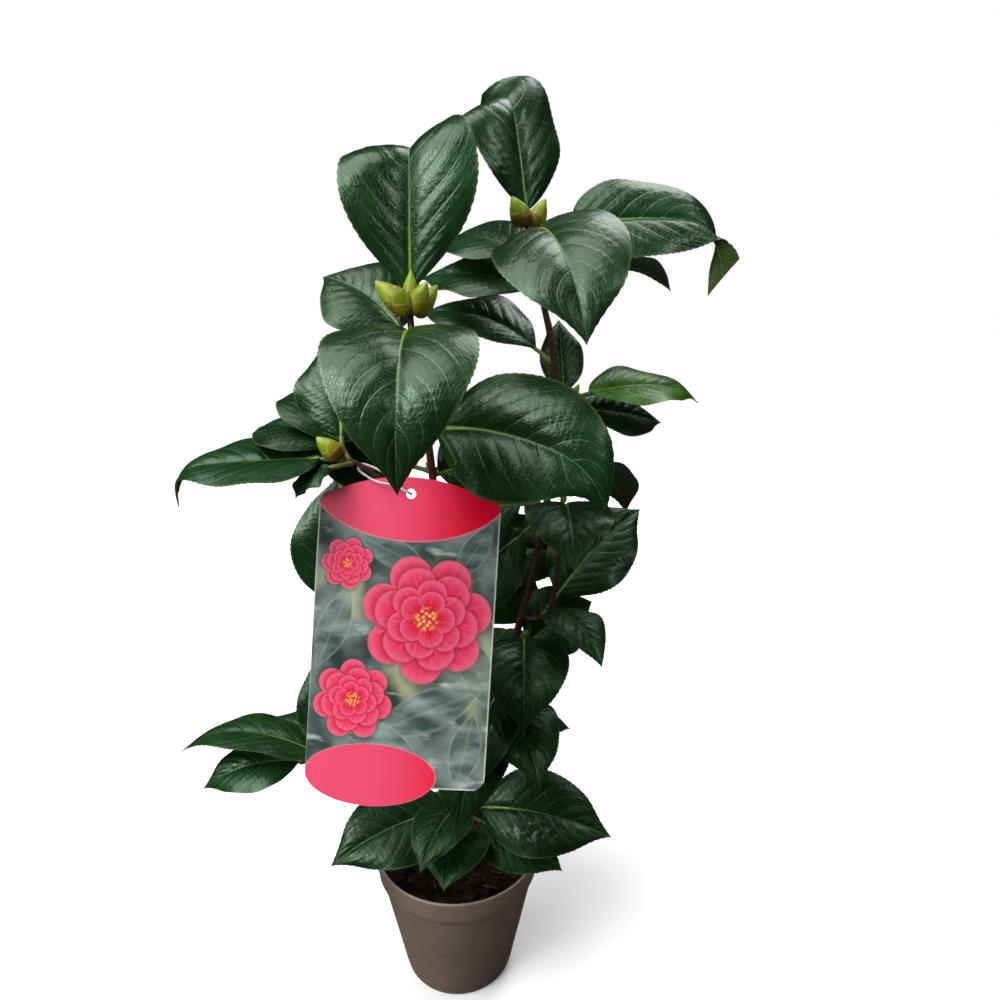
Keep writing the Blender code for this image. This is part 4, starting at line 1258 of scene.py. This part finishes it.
def buildSoil():
    floor = soilShape["floor"]
    rings = soilShape["rings"]
    top = soilTop / mm - 2.5
    edge = potInside(top) - 0.3
    profile = [(0, floor), (potInside(floor) - 0.3, floor), (edge - 0.4, top - 4), (edge, top - 1)]
    profile += [(edge * (1 - k / rings), top) for k in range(rings + 1)]
    shape = turnedShape(profile, soilShape["steps"])
    for v in shape.verts:
        if v.co.z > (top - 1.5) * mm:
            v.co.z = soilHeight(v.co.x, v.co.y)
    newPiece("compost", [partMesh(shape)], (compost,), ("soil",))

    chance = random.Random(soilShape["seed"])
    grain = bmesh.new()
    bmesh.ops.create_icosphere(grain, subdivisions=1, radius=1)
    grainMesh = partMesh(grain)
    points = pointsOf(grainMesh)
    bits = []
    for k in range(soilShape["crumbs"] + soilShape["fibres"]):
        isFibre = k >= soilShape["crumbs"]
        out = (edge - 3) * math.sqrt(chance.random()) * mm
        angle = chance.uniform(0, 2 * math.pi)
        x = out * math.cos(angle)
        y = out * math.sin(angle)
        if out < soilShape["clear"] * mm:
            continue
        size = chance.uniform(*soilShape["fibre" if isFibre else "crumb"]) * mm
        girth = (0.10, 0.10) if isFibre else (chance.uniform(0.5, 1), chance.uniform(0.35, 0.8))
        lumps = np.array([1 + 0.35 * chance.uniform(-1, 1) for _ in points])[:, None]
        turn = Matrix.Rotation(chance.uniform(0, 6.28), 3, "Z")
        turn = turn @ Matrix.Rotation(chance.uniform(-0.35, 0.35), 3, "Y")
        moved = (points * lumps * (1, *girth) * size) @ np.array(turn).T
        bit = grainMesh.copy()
        setPoints(bit, moved + (x, y, soilHeight(x, y) + (0.2 * mm if isFibre else 0.25 * size)))
        shade = chance.uniform(*soilShape["fibreShades"]) if isFibre else chance.choice(soilShape["shades"])
        setTint(bit, (shade, shade * 0.95, shade * 0.9, 1))
        bits.append(bit)
    newPiece("compost_crumbs", bits, (compost,), sharpFrom=180)


potPlastic = makePotPlastic()
compost = makeCompost()
buildPot()
buildSoil()
print("pot and compost ready")


# Label

card = {
    "middle": (-14.7, -79.6, 234),
    "lean": 14,  # its foot stands forward
    "turn": -3.5,
    "wide": 71,
    "high": 114,
    "thick": 0.8,
    "corner": 5,
    "arch": 7,
    "lobeX": -9.4,
    "lobeWide": 51.2,
    "lobeDeep": 12,
    "lobeUp": 4,
    "holeUp": 57.5,
    "hole": 2.0,
    "cell": 3.2,
    "bow": 0.9,
    "crease": 0.5,  # how far it dips round its hole
    "creaseWide": 7,
    "wave": 0.35,
    "waveLong": 17,
    "edge": (0.7, 0.35),  # where the pale rim of the print begins and is full
    "band": (0, 62, 0, 39.4, 23),  # middle, turn and half axes of the ellipse that bounds the band
}
inks = {
    "band": (0.86, 0.003, 0.035),
    # pale pink of the band's left side, which also stands for a painted glare on the front; the back's band
    # is plain in it
    "bandPaleAndGlare": (0.84, 0.080, 0.165),
    "petal": (0.84, 0.060, 0.150),
    "petalDeep": (0.72, 0.008, 0.050),
    "petalShade": (0.34, 0.0, 0.016),
    "petalPale": (0.88, 0.25, 0.33),
    "eye": (0.90, 0.62, 0.12),
    "shadow": (0.030, 0.050, 0.042),
    "haze": (0.20, 0.25, 0.235),
    "light": (0.55, 0.60, 0.54),
    "glow": (0.48, 0.50, 0.27),
    "leafDark": (0.045, 0.085, 0.070),
    "leaf": (0.26, 0.34, 0.33),
    "leafEdge": (0.45, 0.52, 0.42),
    "card": (0.80, 0.80, 0.76),
    "cardWorn": (0.74, 0.75, 0.70),
}
# each bloom: middle across and up, radius, turn
printBlooms = ((9, 9, 26, 10), (-18, -24, 16, 40), (-23, 29, 10.5, 75))
# each ring of a bloom: petals, share of the radius, turn
bloomRings = ((7.0, 1.0, 0.0), (6.0, 0.80, 22.0), (6.0, 0.61, 50.0), (5.0, 0.44, 10.0))
# each leaf: middle across and up, half length, half width, turn
printLeaves = (
    (-27, 4, 17, 6, 70),
    (-5, 34, 15, 5.5, 155),
    (30, -10, 18, 6.5, 115),
    (12, -27, 22, 8, 25),
    (-8, -38, 17, 6, 160),
    (26, 36, 13, 5, 60),
    (27, -42, 15, 6, 80),
)


def makePetalRing():
    # one ring of round petals; the place is in millimetres from the bloom's middle
    group, place, count, radius, turn = openGroup("petalRing", place=None, count=5.0, radius=20.0, turn=0.0)
    x, y, _ = apart(place)
    angle = plus(maths("ARCTAN2")(y, x), turn)
    lobe = absolute(maths("COSINE")(times(times(angle, count), 0.5)))
    reach = timesPlus(power(lobe, 0.55), 0.30, 0.70)
    share = over(lengthOf(place), times(reach, radius))
    rays = noiseOf(together(times(angle, 9.0), share), 1.0, 3.0, 0.6)
    return closeGroup(
        group,
        mask=ease(share, 0.96, 1.0, 1.0, 0.0),
        edge=larger(ease(share, 0.80, 0.99), ease(lobe, 0.0, 0.25, 0.6, 0.0)),
        out=share,
        streak=ease(rays, 0.42, 0.72),
    )


def makeLeafPrint():
    # one blurred leaf of the print
    group, place, long, wide = openGroup("leafPrint", place=None, long=15.0, wide=5.0)
    x, y, _ = apart(place)
    x = over(x, long)
    y = absolute(over(y, wide))
    share = minus(y, minus(1.0, times(x, x)))
    rim = ease(absolute(share), 0.0, 0.12, 1.0, 0.0)
    rib = times(ease(y, 0.02, 0.12, 0.6, 0.0), ease(share, -0.1, 0.0, 1.0, 0.0))
    line = times(larger(rim, rib), ease(absolute(x), 0.98, 1.05, 1.0, 0.0))
    return closeGroup(group, mask=ease(share, -0.12, 0.02, 1.0, 0.0), line=line)


def printedPlace(tree):
    # the place on the card in millimetres
    return scaled(surfacePlace(tree), 100.0, 100.0, 1.0)


def printGarden(place):
    # out of focus, behind the flowers
    grain = noiseOf(scaled(place, 0.06, 0.16, 1.0), 1.0, 3.0, 0.5)
    warm = noiseOf(scaled(place, 0.045, 0.03, 1.0), 1.0, 1.0, 0.5)
    colour = blend(ease(noiseOf(place, 0.055, 2.0, 0.5), 0.35, 0.62), inks["shadow"], inks["haze"])
    colour = blend(ease(grain, 0.56, 0.72, 0.0, 0.8), colour, inks["light"])
    colour = blend(ease(warm, 0.56, 0.70, 0.0, 0.7), colour, inks["glow"])
    for x, y, long, wide, turn in printLeaves:
        drawn = useGroup(leafPrint, seenFrom(place, x, y, turn), long, wide)
        body = blend(ease(grain, 0.35, 0.65), inks["leafDark"], inks["leaf"])
        colour = blend(times(drawn["mask"], 0.72), colour, body)
        colour = blend(times(drawn["line"], 0.28), colour, inks["leafEdge"])
    return colour


def printBloom(place, colour, x, y, radius, turn):
    # ring by ring from the outside, every ring with its shade on what lies below
    own = seenFrom(place, x, y, turn)
    for count, share, shift in bloomRings:
        ring = useGroup(petalRing, own, count, radius * share, math.radians(shift))
        shade = inks["petalShade" if share < 1 else "shadow"]
        colour = blend(ease(ring["out"], 0.96, 1.16, 0.5, 0.0), colour, shade)
        petal = blend(ease(ring["out"], 0.45, 0.95), inks["petalDeep"], inks["petal"])
        petal = blend(times(ring["streak"], 0.28), petal, inks["petalPale"])
        petal = blend(times(ring["edge"], 0.32), petal, inks["petalPale"])
        colour = blend(ring["mask"], colour, petal)
    dot = ease(cellsOf(own, 14.0 / radius), 0.20, 0.5, 1.0, 0.0)
    eye = times(ease(lengthOf(own), radius * 0.10, radius * 0.22, 0.9, 0.0), dot)
    return blend(eye, colour, inks["eye"])


def makeCardPrint():
    made, tree = newMaterial("cardPrint", Coat_Weight=0.10, Coat_Roughness=0.15, Specular_IOR_Level=0.35)
    place = printedPlace(tree)
    x, y, _ = apart(place)
    colour = printGarden(place)
    for bloom in printBlooms:
        colour = printBloom(place, colour, *bloom)
    # pale cut edge at both sides and the foot
    side = ease(absolute(x), *[card["wide"] / 2 - inward for inward in card["edge"]])
    foot = ease(times(y, -1.0), *[card["high"] / 2 - inward for inward in card["edge"]])
    colour = blend(times(larger(side, foot), 0.6), colour, inks["card"])
    # coloured band above and oval below
    lobe = (card["lobeX"], card["lobeUp"] - card["high"] / 2, 0, card["lobeWide"] / 2, card["lobeDeep"])
    share = maths("MINIMUM")(lengthOf(seenFrom(place, *card["band"])), lengthOf(seenFrom(place, *lobe)))
    # band and oval go from pale pink on the left to deeper crimson on the right; the paler left is a
    # painted glare of light from the left over the printed band
    bandWithGlare = blend(ease(x, -10.0, 30.0), inks["bandPaleAndGlare"], inks["band"])
    colour = blend(ease(share, 1.0, 1.03, 0.7, 0.0), colour, inks["petalPale"])
    colour = blend(ease(share, 0.985, 1.0, 1.0, 0.0), colour, bandWithGlare)
    spots = useGroup(mottle, objectPlace(tree), 60.0, 300.0)
    return finished(made, colour, timesPlus(spots["broad"], 0.10, 0.26), spots["broad"], 0.05, 0.6)


def makeCardBack():
    made, tree = newMaterial("cardBack", Coat_Weight=0.2, Coat_Roughness=0.2)
    spots = useGroup(mottle, objectPlace(tree), 50.0, 900.0)
    band = ease(lengthOf(seenFrom(printedPlace(tree), *card["band"])), 0.985, 1.0, 1.0, 0.0)
    colour = blend(band, blend(spots["broad"], inks["card"], inks["cardWorn"]), inks["bandPaleAndGlare"])
    return finished(made, colour, timesPlus(spots["fine"], 0.08, 0.34), spots["fine"], 0.05, 0.1)


def labelFrame():
    # the label's middle, and its directions across, up and out of its printed face
    lean = Matrix.Rotation(math.radians(-card["lean"]), 3, "X")
    out = lean @ Vector((0, -1, 0))
    turn = Matrix.Rotation(math.radians(card["turn"]), 3, out)
    return spot(*card["middle"]), turn @ (lean @ Vector((1, 0, 0))), turn @ (lean @ Vector((0, 0, 1))), out


def labelOutline():
    # an arched top, round corners and a lobe below on the left, in millimetres
    high = card["high"] / 2
    r = card["corner"]
    flat = card["wide"] / 2 - r
    top = [-flat + 2 * flat * k / 24 for k in range(25)]
    points = [(x, high + card["arch"] * (1 - (x / flat) ** 2)) for x in top]
    points += arc(flat, high - r, r, 80, 0, 8) + arc(flat, r - high, r, 0, -90, 8)
    for x, y in arc(0, 0, 1, -20, -180, 28):
        x = card["lobeX"] + card["lobeWide"] / 2 * x
        points.append((x, card["lobeUp"] - high + card["lobeDeep"] * y))
    return points + arc(-flat, high - r, r, 180, 100, 8)


def labelBow(x, y):
    # how far the card stands out of its plane, in millimetres
    bow = card["bow"] * (0.5 - (2 * x / card["wide"]) ** 2)
    crease = card["crease"] * math.exp(-((math.hypot(x, y - card["holeUp"]) / card["creaseWide"]) ** 2))
    return bow - crease + card["wave"] * math.sin(y / card["waveLong"])


def buildLabel():
    middle, across, up, out = labelFrame()
    shape = bmesh.new()
    edges = []
    for outline in (labelOutline(), arc(0, card["holeUp"], card["hole"], 0, 345, 23)):
        ring = [shape.verts.new((x, y, 0)) for x, y in outline]
        edges += [shape.edges.new(pair) for pair in zip(ring, ring[1:] + ring[:1])]
    bmesh.ops.triangle_fill(shape, use_beauty=True, edges=edges, normal=(0, 0, 1))
    for axis, reach in ((0, card["wide"] / 2), (1, card["high"] / 2 + card["lobeDeep"])):
        normal = Vector((1 - axis, axis, 0))
        count = int(2 * reach / card["cell"])
        for k in range(1, count):
            place = normal * (-reach + 2 * reach * k / count)
            geom = shape.verts[:] + shape.edges[:] + shape.faces[:]
            bmesh.ops.bisect_plane(shape, geom=geom, plane_co=place, plane_no=normal)
    thicken(shape, card["thick"])
    layUv(shape, lambda v: v.co.xy / 100)
    for face in shape.faces:
        face.material_index = 0 if face.normal.z > 0.5 else 1
    for v in shape.verts:
        x, y, z = v.co
        v.co = middle + (across * x + up * y + out * (z - card["thick"] / 2 + labelBow(x, y))) * mm
    newPiece("label_card", [partMesh(shape)], (cardPrint, cardBack), ("label",), sharpFrom=40)


petalRing = makePetalRing()
leafPrint = makeLeafPrint()
cardPrint = makeCardPrint()
cardBack = makeCardBack()
buildLabel()
print("label ready")


# Thread

threadShape = {
    "at": 0.76,  # share of the shoot's length where it hangs
    "past": 4.5,
    "wide": 5.0,
    "ply": 0.30,
    "apart": 0.26,
    "turns": 46,
    "steps": 420,
    "sides": 8,
    "colour": (0.80, 0.80, 0.77),
}


def makeThread():
    made, tree = newMaterial("thread", Sheen_Weight=0.3, Sheen_Roughness=0.5)
    fibres = noiseOf(scaled(surfacePlace(tree), 14.0, 30.0, 1.0), 1.0, 3.0, 0.6)
    pale = threadShape["colour"]
    colour = blend(ease(fibres, 0.3, 0.7), 0.55 * Vector(pale), pale)
    return finished(made, colour, timesPlus(fibres, 0.15, 0.6), fibres, 0.5, 0.15)


def threadRoute():
    # from the label's hole up to the shoot and back
    middle, _, up, out = labelFrame()
    low = middle + up * (card["holeUp"] * mm)
    twig, twigAhead, _ = along(plan["foliage_left_shoot"]["stem"], threadShape["at"])
    rise = (twig - low).normalized()
    length = (twig - low).length + threadShape["past"] * mm
    lowSide = (out - rise * out.dot(rise)).normalized()
    highSide = rise.cross(twigAhead).normalized()
    if highSide.dot(lowSide) < 0:
        highSide.negate()
    route = []
    for k in range(threadShape["steps"] + 1):
        a = 2 * math.pi * k / threadShape["steps"]
        height = length / 2 * (1 - math.cos(a))
        side = lowSide.slerp(highSide, softStep(0.25, 0.75, height / length))
        swell = math.copysign(abs(math.sin(a)) ** 0.6, math.sin(a)) * threadShape["wide"] / 2 * mm
        route.append((low + rise * height + side * swell, rise.cross(side)))
    return route


def buildThread():
    route = threadRoute()
    last = len(route) - 1
    plies = []
    for ply in (0, math.pi):
        spine = []
        for k, (point, side) in enumerate(route):
            ahead = (route[min(k + 1, last)][0] - route[max(k - 1, 0)][0]).normalized()
            other = ahead.cross(side).normalized()
            angle = ply + 2 * math.pi * threadShape["turns"] * k / threadShape["steps"]
            away = side * math.cos(angle) + other * math.sin(angle)
            spine.append(point + away * (threadShape["apart"] * mm))
        plies.append(rolledTube(spine, [threadShape["ply"] * mm] * len(spine), threadShape["sides"]))
    newPiece("label_thread", plies, (thread,), ("label_loop",))


thread = makeThread()
buildThread()
print("thread ready")


# Floor, light and camera

studio = {
    "floor": (0.97, 0.97, 0.97),
    "floorBounce": (0.04, 0.04, 0.04),  # what it gives back to the plant
    "floorWide": 30.0,  # metres
    "sky": (1.0, 1.0, 1.0),
    "skyStrength": 0.02,
    "backdropStrength": 1.0,
    "sun": (46, (6, -20, 0)),  # angle it fills and how it is turned
    "sunShares": (("sunBright", 1.7, True), ("sunSoft", 1.8, False)),  # the second is not mirrored

    # place, where it points, size, spread in degrees, watts, and whether glossy things mirror it
    "lamps": (
        ("key", (-0.75, -1.05, 0.66), (0, 0, 0.24), 0.9, 180, 9.5, False),
        ("high", (-0.66, -0.62, 1.18), (0, 0, 0.24), 0.5, 180, 6.5, True),
        ("crown", (0.62, -0.50, 1.22), (0.07, 0, 0.57), 0.5, 23, 0.10, True),
        ("rear", (0.35, 0.50, 1.30), (0, 0, 0.24), 0.65, 180, 4.6, True),
        ("behind", (0.40, 1.15, 0.60), (0, 0, 0.24), 0.9, 180, 11.0, False),
        ("side", (1.25, 0.25, 0.55), (0, 0, 0.24), 0.9, 180, 4.0, False),
    ),
    "camera": (23.6, -324.5, 351.7),
    "pitch": 14,
    "lens": 24.48,
    "sensor": 36,
}


def isSeen(tree):
    # 1 where the camera looks straight at it, 0 for light on its way
    return addNode("ShaderNodeLightPath", {}, tree).outputs["Is Camera Ray"]


def makeFloorFinish():
    made, tree = newMaterial("floorFinish", Roughness=0.9, Specular_IOR_Level=0.0)
    patches = noiseOf(objectPlace(tree), 3.0, 2.0, 0.5)
    pale = blend(ease(patches, 0.3, 0.7), 0.98 * Vector(studio["floor"]), studio["floor"])
    colour = blend(isSeen(tree), studio["floorBounce"], pale)
    plug(colour, principled(made)["Base Color"])
    return made


def addLight(name, kind, power, mirrored, turn):
    light = bpy.data.lights.new(name, kind)
    light.energy = power
    holder = addObject(name, light)
    holder.visible_glossy = mirrored
    holder.rotation_euler = turn
    return holder


def buildStage():
    disc = bmesh.new()
    bmesh.ops.create_circle(disc, cap_ends=True, segments=96, radius=studio["floorWide"])
    floor = addObject("floor", meshOf(disc))
    floor.data.materials.append(makeFloorFinish())
    for name, place, aim, size, spread, power, mirrored in studio["lamps"]:
        turn = (Vector(aim) - Vector(place)).to_track_quat("-Z", "Y").to_euler()
        holder = addLight(name, "AREA", power, mirrored, turn)
        holder.location = place
        holder.visible_camera = False
        holder.data.shape = "DISK"
        holder.data.size = size
        holder.data.spread = math.radians(spread)
    angle, turn = studio["sun"]
    for name, strength, mirrored in studio["sunShares"]:
        holder = addLight(name, "SUN", strength, mirrored, [math.radians(a) for a in turn])
        holder.data.angle = math.radians(angle)
    world = bpy.data.worlds.new("studio")
    world.use_nodes = True
    sky = world.node_tree.nodes["Background"].inputs
    plug(studio["sky"], sky["Color"])
    seen = isSeen(world.node_tree)
    plug(ease(seen, 0.0, 1.0, studio["skyStrength"], studio["backdropStrength"]), sky["Strength"])
    bpy.context.scene.world = world
    camera = addObject("camera", bpy.data.cameras.new("camera"))
    camera.data.lens = studio["lens"]
    camera.data.sensor_width = studio["sensor"]
    camera.data.clip_start = 0.01
    camera.location = spot(*studio["camera"])
    camera.rotation_euler = (math.radians(90 - studio["pitch"]), 0, 0)
    bpy.context.scene.camera = camera
    bpy.context.scene.view_settings.view_transform = "Standard"


buildStage()
